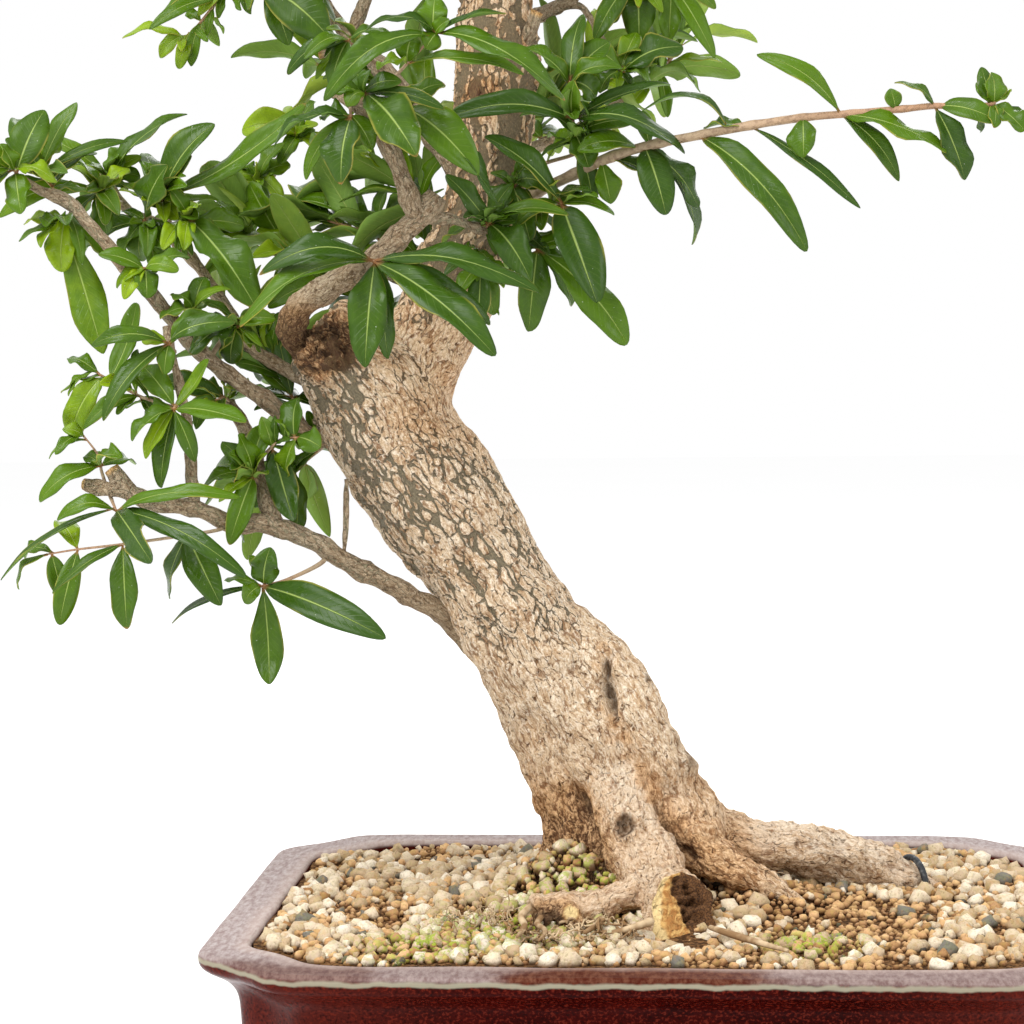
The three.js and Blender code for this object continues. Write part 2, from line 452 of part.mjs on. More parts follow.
function makePot() {
  const outside = loft(POT_OUTSIDE.map(([inset, height]) => potRing(inset, height)));
  const aboveRim = potRing(POT_INSIDE[0][0] - 1, POT_HEIGHT + 2);
  const insideRings = POT_INSIDE.toReversed().map(([inset, height]) => potRing(inset, height));
  const inside = loft([...insideRings, aboveRim]);
  const underside = loft([0, POT_FOOT_HEIGHT + 4].map((height) => potRing(FOOT_INSET, height)));
  const feet = [];
  for (const sideX of [-1, 1]) {
    for (const sideY of [-1, 1]) {
      const foot = new THREE.BoxGeometry(FOOT_SIZE[0], FOOT_SIZE[1], POT_FOOT_HEIGHT + 3);
      const x = sideX * (POT_HALF_LENGTH - FOOT_INSET - FOOT_SIZE[0] / 2);
      const y = sideY * (POT_HALF_WIDTH - FOOT_INSET - FOOT_SIZE[1] / 2);
      foot.translate(x, y, (POT_FOOT_HEIGHT + 3) / 2);
      feet.push(solidFrom(foot).intersect(underside));
    }
  }
  const drains = [-1, 1].map((side) => {
    const drain = new THREE.CylinderGeometry(DRAIN_RADIUS, DRAIN_RADIUS, POT_FLOOR_TOP + 10, 12);
    drain.rotateX(Math.PI / 2).translate(side * DRAIN_OFFSET, 0, POT_FLOOR_TOP / 2);
    return solidFrom(drain);
  });
  return outside.add(unionOf(feet)).subtract(inside).subtract(unionOf(drains));
}

// ---------------------------------------------------------------------------------------------
// Trunk: bole, leader, buttress, roots and limbs, grown as one
// ---------------------------------------------------------------------------------------------

const BOLE_SIDES = 14;
const ROOT_SIDES = 7;

/** Points and radii along a route, run through smoothly. */
function smooth(route, radii, step) {
  const curve = new THREE.CatmullRomCurve3(route.map(vector));
  const count = Math.max(2, Math.round(curve.getLength() / step));
  return Array.from({ length: count + 1 }, (_, i) => {
    const place = curve.getUtoTmapping(i / count);
    const slot = Math.min(route.length - 2, Math.floor(place * (route.length - 1)));
    const share = place * (route.length - 1) - slot;
    return [curve.getPoint(place), radii[slot] * (1 - share) + radii[slot + 1] * share];
  });
}

/** A rod through [x, y, z, radius] rows, grown on all sides by extra. */
function grown(rows, step, sides, extra, swell) {
  const stations = smooth(rows.map((row) => row.slice(0, 3)), rows.map((row) => row[3] + extra), step);
  return rod(stations, sides, swell);
}

/** Low swellings that wind up the bole. */
function boleSwell(angle, i) {
  const broad = 0.045 * Math.sin(3 * angle + 0.35 * i) + 0.03 * Math.sin(5 * angle - 0.5 * i);
  return 1 + broad + 0.018 * Math.sin(9 * angle + 0.9 * i);
}

/** Lumps along a root. */
function rootSwell(angle, i) {
  return 1 + 0.07 * Math.sin(2 * angle + 0.8 * i) + 0.05 * Math.sin(3 * angle - 1.3 * i);
}

/** Radius of a limb at each point of its route. */
function limbRadii([[foot, tip], route]) {
  return route.map((_, i) => foot + ((tip - foot) * i) / (route.length - 1));
}

/** The whole of the wood, grown on all sides by extra. */
function makeWood(extra = 0) {
  const bole = grown(BOLE, 21, BOLE_SIDES, extra, boleSwell);
  const leader = grown(LEADER, 40, 9, extra, boleSwell);
  const buttress = grown(BUTTRESS, 18, ROOT_SIDES, extra, rootSwell);
  const roots = Object.values(ROOTS).map((rows) => grown(rows, 18, ROOT_SIDES, extra, rootSwell));
  const limbs = Object.values(LIMBS).map((limb) => {
    const [[foot], route] = limb;
    const radii = limbRadii(limb).map((radius) => radius + extra);
    return rod(smooth(route, radii, 34), 5);
  });
  return unionOf([bole, leader, buttress, ...roots, ...limbs]);
}

// ---------------------------------------------------------------------------------------------
// Tie wire over the end of the long right root
// ---------------------------------------------------------------------------------------------

const WIRE_LOOP_RADIUS = 11.5;
const WIRE_CENTRE = [113, 41.5, 98];
const WIRE_TURN = 0.45; // radians from the pot's cross direction
const WIRE_DIP = 0.35; // radians that each end of the arc goes on below its middle, into the soil
const WIRE_STEPS = 11;

function makeWire(extra = 0) {
  const stations = Array.from({ length: WIRE_STEPS + 1 }, (_, i) => {
    const angle = ((Math.PI + 2 * WIRE_DIP) * i) / WIRE_STEPS - WIRE_DIP;
    const across = WIRE_LOOP_RADIUS * Math.cos(angle);
    const rise = WIRE_LOOP_RADIUS * Math.sin(angle);
    const offset = vector([Math.sin(WIRE_TURN) * across, -Math.cos(WIRE_TURN) * across, rise]);
    return [vector(WIRE_CENTRE).add(offset), WIRE_RADIUS + extra];
  });
  return rod(stations, 6);
}

// ---------------------------------------------------------------------------------------------
// Soil
// ---------------------------------------------------------------------------------------------

/** Height of the grit at a place: a slope down to the back, a mound round the trunk, and the grains. */
function soilHeight(x, y, random) {
  const slope = SOIL_FRONT_Z + ((SOIL_BACK_Z - SOIL_FRONT_Z) * (y + POT_HALF_WIDTH)) / (2 * POT_HALF_WIDTH);
  const distance = Math.hypot(x - SOIL_MOUND_CENTRE[0], y - SOIL_MOUND_CENTRE[1]);
  const mound = SOIL_MOUND * Math.exp(-((distance / SOIL_MOUND_REACH) ** 2));
  return slope + mound + GRAIN_RELIEF * (2 * random() - 1);
}

function makeSoil(woodHole, wireHole) {
  const random = randomFrom(SOIL_SEED);
  const [columns, rows] = SOIL_CELLS;
  const corners = [];
  const triangles = [];
  const halfX = POT_HALF_LENGTH - POT_RIM_WIDTH + 4;
  const halfY = POT_HALF_WIDTH - POT_RIM_WIDTH + 4;
  for (let j = 0; j <= rows; j++) {
    for (let i = 0; i <= columns; i++) {
      const x = halfX * ((2 * i) / columns - 1);
      const y = halfY * ((2 * j) / rows - 1);
      const jitterX = i > 0 && i < columns ? (random() - 0.5) * GRAIN_JITTER : 0;
      const jitterY = j > 0 && j < rows ? (random() - 0.5) * GRAIN_JITTER : 0;
      corners.push(new THREE.Vector3(x + jitterX, y + jitterY, soilHeight(x, y, random)));
    }
  }
  const at = (i, j) => j * (columns + 1) + i;
  for (let j = 0; j < rows; j++) {
    for (let i = 0; i < columns; i++) {
      const [a, b, c, d] = [at(i, j), at(i + 1, j), at(i + 1, j + 1), at(i, j + 1)];
      if ((i + j) % 2) triangles.push([a, b, c], [a, c, d]);
      else triangles.push([a, b, d], [b, c, d]);
    }
  }
  const rim = [];
  for (let i = 0; i < columns; i++) rim.push(at(i, 0));
  for (let j = 0; j < rows; j++) rim.push(at(columns, j));
  for (let i = columns; i > 0; i--) rim.push(at(i, rows));
  for (let j = rows; j > 0; j--) rim.push(at(0, j));
  const floor = POT_FLOOR_TOP - 10;
  const first = corners.length;
  for (const index of rim) corners.push(new THREE.Vector3(corners[index].x, corners[index].y, floor));
  corners.push(new THREE.Vector3(0, 0, floor));
  const middle = corners.length - 1;
  rim.forEach((top, k) => {
    const next = (k + 1) % rim.length;
    triangles.push([top, first + k, first + next], [top, first + next, rim[next]]);
    triangles.push([first + next, first + k, middle]);
  });
  const bed = solid(corners, triangles);
  const fit = POT_INSIDE.slice(1).toReversed().map(([inset, height], level) => {
    return potRing(inset + FIT_GAP, level ? height : height + FIT_GAP);
  });
  const above = potRing(POT_RIM_WIDTH + FIT_GAP, POT_HEIGHT + 20);
  return mainBody(bed.intersect(loft([...fit, above])).subtract(woodHole).subtract(wireHole));
}

// ---------------------------------------------------------------------------------------------
// Leaves: where each blade goes
// ---------------------------------------------------------------------------------------------

const TREE_AXIS = [-90, 25];
const UP = new THREE.Vector3(0, 0, 1);
const FRONT_FACING = new THREE.Vector3(0, -0.75, 0.65);
const LEAN_TRIES = [0, 7, -7, 14, -14, 21, -21, 28, -28, 35, -35, 42, -42, 50, -50];
const HEADING_TRIES = [0, 9, -9, 18, -18];
const TURN_TRIES = [0, 18, -18, 36, -36, 54, -54, 72, -72, 90, -90];
const GOLDEN_ANGLE = 137.5;
const LEAF_PITCH = 0.8; // along the twig, between the leaves of a tuft
const SHOOT_SEED = 300;
const SPUR_STAND = 4; // the least that a spur stands out of the bark
const FREE_FROM = 0.2; // blades of one shoot are kept apart from this share of their length on

const radians = THREE.MathUtils.degToRad;

/** The point at a share of the length of a line through points. */
function pointAlong(points, share) {
  const steps = points.slice(1).map((point, i) => point.distanceTo(points[i]));
  let left = share * steps.reduce((sum, step) => sum + step, 0);
  for (let i = 0; i < steps.length; i++) {
    if (left <= steps[i] || i === steps.length - 1) {
      return points[i].clone().lerp(points[i + 1], Math.min(1, left / steps[i]));
    }
    left -= steps[i];
  }
}

/** Points every few millimetres along all the wood above the soil, with its radius there. */
function woodSamples() {
  const lines = [BOLE, LEADER, BUTTRESS].map((rows) => rows.map((row) => [vector(row), row[3]]));
  for (const limb of Object.values(LIMBS)) {
    const radii = limbRadii(limb);
    lines.push(limb[1].map((point, i) => [vector(point), radii[i]]));
  }
  const samples = [];
  for (const line of lines) {
    for (let i = 0; i + 1 < line.length; i++) {
      const count = Math.ceil(line[i][0].distanceTo(line[i + 1][0]) / 5);
      for (let k = 0; k <= count; k++) {
        const share = k / count;
        const point = line[i][0].clone().lerp(line[i + 1][0], share);
        samples.push([point, line[i][1] * (1 - share) + line[i + 1][1] * share]);
      }
    }
  }
  return samples;
}

/** The middle of the wood nearest to a point. */
function nearest(wood, point) {
  const closer = (best, item) => (item[0].distanceTo(point) < best[0].distanceTo(point) ? item : best);
  return wood.reduce(closer)[0];
}

/** How far a point lies outside the bark. */
function outside(wood, point) {
  return Math.min(...wood.map(([place, radius]) => point.distanceTo(place) - radius));
}

/** A blade: where it starts, its heading, its upper face, its size and the arch of its midrib. */
function makeBlade(base, direction, facing, length, width, bow) {
  const face = facing.clone().addScaledVector(direction, -facing.dot(direction)).normalize();
  const side = new THREE.Vector3().crossVectors(direction, face);
  return { base, direction, face, side, length, width, bow };
}

/** The point at a share of the length of a blade's midrib. */
function midrib(blade, t) {
  const chord = blade.base.clone().addScaledVector(blade.direction, blade.length * t);
  return chord.addScaledVector(blade.face, blade.bow * 4 * t * (1 - t));
}

/** Points all over a blade, from a share of its length on. */
function bladeSamples(blade, from) {
  const count = Math.max(4, Math.ceil(blade.length / 4));
  const points = [];
  for (let i = Math.max(1, Math.ceil(from * count)); i <= count; i++) {
    const half = (blade.width / 2) * Math.sin((Math.PI * i) / count);
    for (const across of [-1, -0.5, 0, 0.5, 1]) {
      points.push(midrib(blade, i / count).addScaledVector(blade.side, across * half));
    }
  }
  return points;
}

/** True where no two of the points are nearer than the gap. */
function apart(points, others, gap) {
  const limit = gap * gap;
  return points.every((point) => others.every((other) => point.distanceToSquared(other) >= limit));
}

/** A unit vector from a heading in the XZ plane and a lean to the front, in degrees. */
function headed(heading, lean) {
  const [turn, tilt] = [radians(heading), radians(lean)];
  return new THREE.Vector3(Math.cos(turn) * Math.cos(tilt), -Math.sin(tilt), Math.sin(turn) * Math.cos(tilt));
}

/** The tries for one leaf of a measured shoot: the leaf as it is, then leaning or heading a little off. */
function measuredTries(twig, row, index, random) {
  const [share, heading, lean, length, width, bow] = row;
  const roll = radians(24 * (random() - 0.5));
  const end = twig[twig.length - 1].clone().sub(twig[twig.length - 2]).normalize();
  const base = pointAlong(twig, share).addScaledVector(end, share === 1 ? -LEAF_PITCH * (index % 4) : 0);
  return HEADING_TRIES.flatMap((swing) =>
    LEAN_TRIES.map((change) => {
      const direction = headed(heading + swing, lean + change);
      const facing = FRONT_FACING.clone().applyAxisAngle(direction, roll);
      return makeBlade(base, direction, facing, length, width, bow);
    }),
  );
}

/** The tries for one leaf of a ruled shoot: spiralled round the twig, spreading less towards its tip. */
function ruledTries(twig, count, index, random) {
  const share = index / (count - 1);
  const [spread, length, slim, bow, roll] = [random(), random(), random(), random(), random()];
  const base = pointAlong(twig, 0.25 + 0.75 * share);
  const along = twig[twig.length - 1].clone().sub(twig[0]).normalize();
  const across = new THREE.Vector3().crossVectors(along, UP).normalize();
  const third = new THREE.Vector3().crossVectors(along, across);
  const tilt = radians(78 - 48 * share + 14 * (spread - 0.5));
  const outward = new THREE.Vector3(base.x - TREE_AXIS[0], base.y - TREE_AXIS[1], 0).normalize();
  const size = 34 + 16 * length;
  return TURN_TRIES.map((change) => {
    const turn = radians(GOLDEN_ANGLE * index + change);
    const direction = along.clone().multiplyScalar(Math.cos(tilt));
    direction.addScaledVector(across, Math.sin(tilt) * Math.cos(turn));
    direction.addScaledVector(third, Math.sin(tilt) * Math.sin(turn)).normalize();
    const facing = outward.clone().multiplyScalar(0.55).addScaledVector(UP, 0.8);
    facing.applyAxisAngle(direction, radians(50 * (roll - 0.5)));
    return makeBlade(base, direction, facing, size, size * (0.29 + 0.08 * slim), 3 + 4 * bow);
  });
}

/** A shoot with its twig, rooted in the nearest wood and standing out of the bark. */
function startShoot([name, points, girth, leaves], index, wood) {
  const twig = points.map(vector);
  const foot = nearest(wood, twig[0]);
  const tip = twig[twig.length - 1];
  const outward = tip.clone().sub(foot).normalize();
  while (outside(wood, tip) < SPUR_STAND) tip.addScaledVector(outward, 1);
  const rooted = foot.distanceTo(twig[0]) > 1 ? [foot, ...twig] : twig;
  return { name, twig, rooted, girth, leaves, random: randomFrom(SHOOT_SEED + index), blades: [] };
}

/** The room that a shoot's twig takes. */
function twigRoom(shoot) {
  const steps = shoot.rooted.slice(1).map((point, i) => point.distanceTo(shoot.rooted[i]));
  const count = Math.ceil(steps.reduce((sum, step) => sum + step, 0) / 3);
  const points = Array.from({ length: count + 1 }, (_, i) => pointAlong(shoot.rooted, i / count));
  const middle = pointAlong(shoot.rooted, 0.5);
  const reach = Math.max(...points.map((point) => point.distanceTo(middle)));
  return { shoot, points, outer: [], middle, reach };
}

/** The room that a blade takes: all of it, and the part that stands clear of its own tuft. */
function bladeRoom(shoot, blade) {
  const points = bladeSamples(blade, 0);
  const outer = bladeSamples(blade, FREE_FROM);
  return { shoot, points, outer, middle: midrib(blade, 0.5), reach: blade.length * 0.6 };
}

/** True where a blade's room is clear of the wood and of all that is taken. */
function hasRoom(room, wood, taken) {
  const clearOfWood = room.outer.every((point) => outside(wood, point) >= WOOD_CLEARANCE);
  return clearOfWood && taken.every((other) => {
    if (other.middle.distanceTo(room.middle) > other.reach + room.reach + SPRAY_CLEARANCE) return true;
    if (other.shoot === room.shoot) return apart(room.outer, other.outer, BLADE_CLEARANCE);
    return apart(room.points, other.points, SPRAY_CLEARANCE);
  });
}

/** All shoots with their twigs and the blades that found room. */
function growShoots() {
  const wood = woodSamples();
  const shoots = [...SHOOTS, ...RULED_SHOOTS].map((row, index) => startShoot(row, index, wood));
  const taken = shoots.map(twigRoom);
  for (const shoot of shoots) {
    const ruled = typeof shoot.leaves === 'number';
    const count = ruled ? shoot.leaves : shoot.leaves.length;
    for (let index = 0; index < count; index++) {
      const tries = ruled
        ? ruledTries(shoot.twig, count, index, shoot.random)
        : measuredTries(shoot.twig, shoot.leaves[index], index, shoot.random);
      const free = tries.find((blade) => hasRoom(bladeRoom(shoot, blade), wood, taken));
      if (!free) continue;
      shoot.blades.push(free);
      taken.push(bladeRoom(shoot, free));
    }
  }
  return shoots;
}

// ---------------------------------------------------------------------------------------------
// Leaves: the solids
// ---------------------------------------------------------------------------------------------

// Half width of a blade at its stations, as a share of its greatest.
const BLADE_OUTLINE = { long: [[0.22, 0.76], [0.5, 1], [0.79, 0.66]], short: [[0.3, 0.94], [0.7, 0.84]] };

/** A lance-shaped blade: flat across its upper face, with the midrib as a keel below. */
function bladeSolid(blade) {
  const outline = BLADE_OUTLINE[blade.length < LONG_LEAF ? 'short' : 'long'];
  const corners = [];
  for (const [t, share] of outline) {
    const middle = midrib(blade, t);
    const half = (blade.width / 2) * share;
    const top = middle.clone().addScaledVector(blade.face, LEAF_THICKNESS / 2);
    corners.push(
      top.clone().addScaledVector(blade.side, half),
      middle.clone().addScaledVector(blade.face, -LEAF_THICKNESS / 2),
      top.clone().addScaledVector(blade.side, -half),
    );
  }
  const root = corners.push(blade.base.clone().addScaledVector(blade.direction, -0.4)) - 1;
  const tip = corners.push(midrib(blade, 1)) - 1;
  const last = 3 * (outline.length - 1);
  const triangles = [];
  for (let i = 0; i < 3; i++) {
    const next = (i + 1) % 3;
    triangles.push([next, i, root], [last + i, last + next, tip]);
    for (let a = 0; a < last; a += 3) {
      triangles.push([a + i, a + next, a + 3 + next], [a + i, a + 3 + next, a + 3 + i]);
    }
  }
  return solid(corners, triangles);
}

/** A shoot's twig and blades as one body, clear of the wood that it stands on. */
function makeShoot(shoot, woodHole) {
  const points = shoot.rooted;
  const stations = points.map((point, i) => [point, shoot.girth * (1 - (0.45 * i) / (points.length - 1))]);
  const twig = rod(stations, shoot.girth > 2 ? 5 : 3);
  return mainBody(unionOf([twig, ...shoot.blades.map(bladeSolid)]).subtract(woodHole));
}

// ---------------------------------------------------------------------------------------------
// The whole tree
// ---------------------------------------------------------------------------------------------

const group = new THREE.Group();

/** Puts a solid into the tree as a named mesh. */
function addPart(name, body, colour, roughness) {
  const mesh = body.getMesh();
  const geometry = new THREE.BufferGeometry();
  geometry.setAttribute('position', new THREE.BufferAttribute(mesh.vertProperties, 3));
  geometry.setIndex(new THREE.BufferAttribute(mesh.triVerts, 1));
  geometry.computeVertexNormals();
  const material = new THREE.MeshStandardMaterial({ color: colour, roughness, metalness: 0 });
  const part = new THREE.Mesh(geometry, material);
  part.name = name;
  group.add(part);
}

const woodHole = makeWood(FIT_GAP);
const wireHole = makeWire(FIT_GAP);

addPart('pot', makePot(), COLOURS.glaze, 0.3);
addPart('soil', makeSoil(woodHole, wireHole), COLOURS.grit, 0.95);
addPart('trunk', makeWood(), COLOURS.bark, 0.9);
addPart('tie_wire', makeWire(), COLOURS.rubber, 0.6);
for (const shoot of growShoots()) {
  addPart(`shoot_${shoot.name}`, makeShoot(shoot, woodHole), COLOURS.leaf, 0.45);
}

const footprint = new THREE.Box3().setFromObject(group);
const middle = footprint.getCenter(new THREE.Vector3());
group.position.set(-middle.x, -middle.y, -footprint.min.z);

export default group;
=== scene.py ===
import math

import bmesh
import bpy
import numpy as np
from mathutils import Matrix, Vector


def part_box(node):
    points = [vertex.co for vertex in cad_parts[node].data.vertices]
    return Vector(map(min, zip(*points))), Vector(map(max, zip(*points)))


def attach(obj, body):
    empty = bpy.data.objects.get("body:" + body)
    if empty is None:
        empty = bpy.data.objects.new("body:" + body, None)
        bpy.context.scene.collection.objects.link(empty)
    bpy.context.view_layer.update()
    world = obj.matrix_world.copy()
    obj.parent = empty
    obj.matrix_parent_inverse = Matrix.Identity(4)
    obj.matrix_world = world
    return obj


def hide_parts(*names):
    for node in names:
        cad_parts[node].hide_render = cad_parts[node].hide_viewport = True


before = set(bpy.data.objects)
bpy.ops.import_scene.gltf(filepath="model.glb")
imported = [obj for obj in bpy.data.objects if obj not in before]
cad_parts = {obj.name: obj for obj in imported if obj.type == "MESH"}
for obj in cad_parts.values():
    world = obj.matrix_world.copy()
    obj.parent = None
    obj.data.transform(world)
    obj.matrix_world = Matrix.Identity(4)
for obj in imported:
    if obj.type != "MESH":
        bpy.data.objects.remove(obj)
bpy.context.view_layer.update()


# Pot: one piece of fired clay, pressed in a mould, with notched corners, a wide flat rim and four feet. It is
# dipped in an oxblood glaze that breaks to a grey-green line on the lip and dries to a dusty mauve on the rim.
# Sizes in this file are in millimetres, unless a name or a comment says otherwise. Nodes and materials use
# metres.

MM = 0.001
POT_HALF_LENGTH = 188
POT_HALF_WIDTH = 141
# One corner of the lip, as distances in from the pot's right side and its back.
POT_CORNER = [(0, 46), (1.5, 38), (7, 30.5), (17, 22.5), (24, 15), (31, 7), (39, 2.5), (56, 0)]
# The pot's section from the middle of its underside, up its wall and over the rim to the middle of its floor,
# as distances in from the outline and heights.
POT_SECTION = [
    (60, 10), (30, 10), (24, 10.6), (20, 14), (18, 22), (16.7, 45), (15.6, 70), (14.8, 79), (12.6, 84),
    (8.6, 88), (3.6, 91.2), (1.2, 93.6), (0.3, 96.4), (0.6, 98.8), (2.2, 99.9), (4, 100), (16.4, 100),
    (18.4, 99.8), (19.6, 98.6), (20, 96), (20.5, 80), (22.6, 26), (27, 20.4), (60, 20),
]
POT_WOBBLE = 0.25
FAR_FROM_LIP = 60
FOOT_SIZE = (62, 48)
FOOT_INSET = 26
# A foot's rounded lower edge and its straight side: how far it is drawn in, and the height.
FOOT_SECTION = [(2.4, 0), (0.8, 0.4), (0, 1.8), (0, 12)]
DRAIN_RADIUS = 11
DRAIN_OFFSET = 85
DRAIN_DEPTH = 50

pot_low, pot_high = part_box("pot")
pot_middle = (pot_low + pot_high) / 2
TREE_FOOT = np.array([pot_middle.x, pot_middle.y, pot_low.z])


def in_place(points):
    """Points given from the middle of the pot's footprint, as places in the scene in metres."""
    return np.asarray(points, float) * MM + TREE_FOOT


def through(points, steps):
    """A smooth line through points, with a number of steps between each two."""
    points = np.asarray(points, float)
    ends = np.vstack([2 * points[0] - points[1], points, 2 * points[-1] - points[-2]])
    line = []
    for a, b, c, d in zip(ends, ends[1:], ends[2:], ends[3:]):
        for t in np.arange(steps) / steps:
            line.append(b + 0.5 * t * (c - a + t * (2 * a - 5 * b + 4 * c - d + t * (3 * (b - c) + d - a))))
    return np.array([*line, points[-1]])


def mesh_piece(name, corners, faces, material=None):
    """A smooth-shaded mesh object with its corners in metres."""
    mesh = bpy.data.meshes.new(name)
    mesh.from_pydata([tuple(corner) for corner in corners], [], faces)
    mesh.polygons.foreach_set("use_smooth", [True] * len(mesh.polygons))
    if material:
        mesh.materials.append(material)
    piece = bpy.data.objects.new(name, mesh)
    bpy.context.scene.collection.objects.link(piece)
    return piece


def skin(rings, first=0):
    """Faces between rings of equally many corners, closed by a fan at each end; the two middles come last."""
    count = len(rings[0])
    faces = []
    for level in range(len(rings) - 1):
        low, high = first + level * count, first + (level + 1) * count
        faces += [(low + i, low + (i + 1) % count, high + (i + 1) % count, high + i) for i in range(count)]
    top, bottom = first + (len(rings) - 1) * count, first + len(rings) * count
    faces += [(first + (i + 1) % count, first + i, bottom) for i in range(count)]
    faces += [(top + i, top + (i + 1) % count, bottom + 1) for i in range(count)]
    return faces


def carry(piece, name, values):
    """Stores values on a piece's corners: one number each, or three."""
    kind, field = ("FLOAT", "value") if np.ndim(values) == 1 else ("FLOAT_VECTOR", "vector")
    layer = piece.data.attributes.new(name, kind, "POINT")
    layer.data.foreach_set(field, np.ascontiguousarray(values, float).ravel())


def baked(piece):
    """The piece with the plain mesh that its modifiers make of it."""
    mesh = bpy.data.meshes.new_from_object(piece.evaluated_get(bpy.context.evaluated_depsgraph_get()))
    piece.modifiers.clear()
    piece.data = mesh
    return piece


def chosen(*pieces):
    """Selects pieces, with the first one active."""
    bpy.ops.object.select_all(action="DESELECT")
    for piece in pieces:
        piece.select_set(True)
    bpy.context.view_layer.objects.active = pieces[0]


def joined(name, pieces):
    """Mesh objects made into one, with their attributes and materials kept."""
    chosen(*pieces)
    bpy.ops.object.join()
    pieces[0].name = name
    return pieces[0]


def wander(points, size, seed):
    """Smooth random values about -1 to 1 over points, from a few waves of a given size."""
    draw = np.random.default_rng(seed)
    height = np.zeros(len(points))
    for _ in range(14):
        heading = draw.normal(size=3)
        heading *= (math.tau / size) * draw.uniform(0.5, 1.6) / np.linalg.norm(heading)
        height += np.sin(points @ heading + draw.uniform(0, math.tau))
    return height / 4


class Field:
    """What a node gives: a value, vector, colour or geometry. Arithmetic with it adds Math nodes."""

    def __init__(self, socket):
        self.socket, self.tree = socket, socket.id_data

    def __add__(self, other):
        return maths("ADD", self, other)

    def __sub__(self, other):
        return maths("SUBTRACT", self, other)

    def __rsub__(self, other):
        return maths("SUBTRACT", other, self)

    def __mul__(self, other):
        return maths("MULTIPLY", self, other)

    def __abs__(self):
        return maths("ABSOLUTE", self)

    def __pow__(self, power):
        return maths("POWER", self, power)


def add_node(tree, kind, inputs=None, **settings):
    """A node with its settings, and its inputs set or linked by name or number."""
    node = tree.nodes.new(kind)
    for key, value in settings.items():
        setattr(node, key, value)
    for key, value in (inputs or {}).items():
        if isinstance(value, Field):
            tree.links.new(value.socket, node.inputs[key])
        else:
            node.inputs[key].default_value = value
    return node


def given_by(tree, kind, inputs=None, output=0, **settings):
    """What a new node gives."""
    return Field(add_node(tree, kind, inputs, **settings).outputs[output])


def maths(operation, *values):
    tree = next(value.tree for value in values if isinstance(value, Field))
    return given_by(tree, "ShaderNodeMath", dict(enumerate(values)), operation=operation)


def larger(first, second):
    return maths("MAXIMUM", first, second)


def noise(vector, scale, detail=3.0, roughness=0.55, distortion=0.0):
    inputs = {
        "Vector": vector, "Scale": scale, "Detail": detail, "Roughness": roughness, "Distortion": distortion,
    }
    return given_by(vector.tree, "ShaderNodeTexNoise", inputs)


def ease(value, low, high, start=0.0, end=1.0):
    """A value carried smoothly from start to end while it goes from low to high."""
    inputs = {"Value": value, "From Min": low, "From Max": high, "To Min": start, "To Max": end}
    return given_by(value.tree, "ShaderNodeMapRange", inputs, interpolation_type="SMOOTHSTEP")


def mix(share, first, second, blend="MIX"):
    """Two colours mixed, with a share of the second."""
    first, second = (colour if isinstance(colour, Field) else (*colour, 1) for colour in (first, second))
    inputs = {0: share, 6: first, 7: second}
    return given_by(share.tree, "ShaderNodeMix", inputs, 2, data_type="RGBA", blend_type=blend)


def layered(colour, *layers):
    """A colour under layers: each the value it follows, from where to where, its shares and its colour."""
    for value, low, high, start, end, over, *blend in layers:
        colour = mix(ease(value, low, high, start, end), colour, over, *blend)
    return colour


def shaded(value, low, high, dark, light):
    """Two colours mixed smoothly while a value goes from low to high."""
    return mix(ease(value, low, high), dark, light)


def vectors(operation, *values):
    return given_by(values[0].tree, "ShaderNodeVectorMath", dict(enumerate(values)), operation=operation)


def stretched(vector, *factors):
    """A vector with each of its parts multiplied."""
    return vectors("MULTIPLY", vector, factors)


def apart(vector):
    """The three parts of a vector."""
    return [Field(part) for part in add_node(vector.tree, "ShaderNodeSeparateXYZ", {0: vector}).outputs]


def finish(name, **sockets):
    """A material, its Principled shader with sockets set, and its object coordinates."""
    material = bpy.data.materials.new(name)
    material.use_nodes = True
    shader = material.node_tree.nodes["Principled BSDF"]
    for key, value in sockets.items():
        shader.inputs[key.replace("_", " ")].default_value = value
    return material, shader, given_by(material.node_tree, "ShaderNodeTexCoord", output="Object")


def colour_with(shader, colour, roughness=None, height=None, depth=0.001, strength=1.0):
    """Links a colour, and where given a roughness and a bump height of a depth in metres, to a shader."""
    if height is not None:
        inputs = {"Height": height, "Distance": depth, "Strength": strength}
        height = given_by(height.tree, "ShaderNodeBump", inputs)
    for name, field in (("Base Color", colour), ("Roughness", roughness), ("Normal", height)):
        if field is not None:
            field.tree.links.new(field.socket, shader.inputs[name])


def carried(shader, attribute, output="Fac"):
    """A value that the mesh carries."""
    return given_by(shader.id_data, "ShaderNodeAttribute", output=output, attribute_name=attribute)


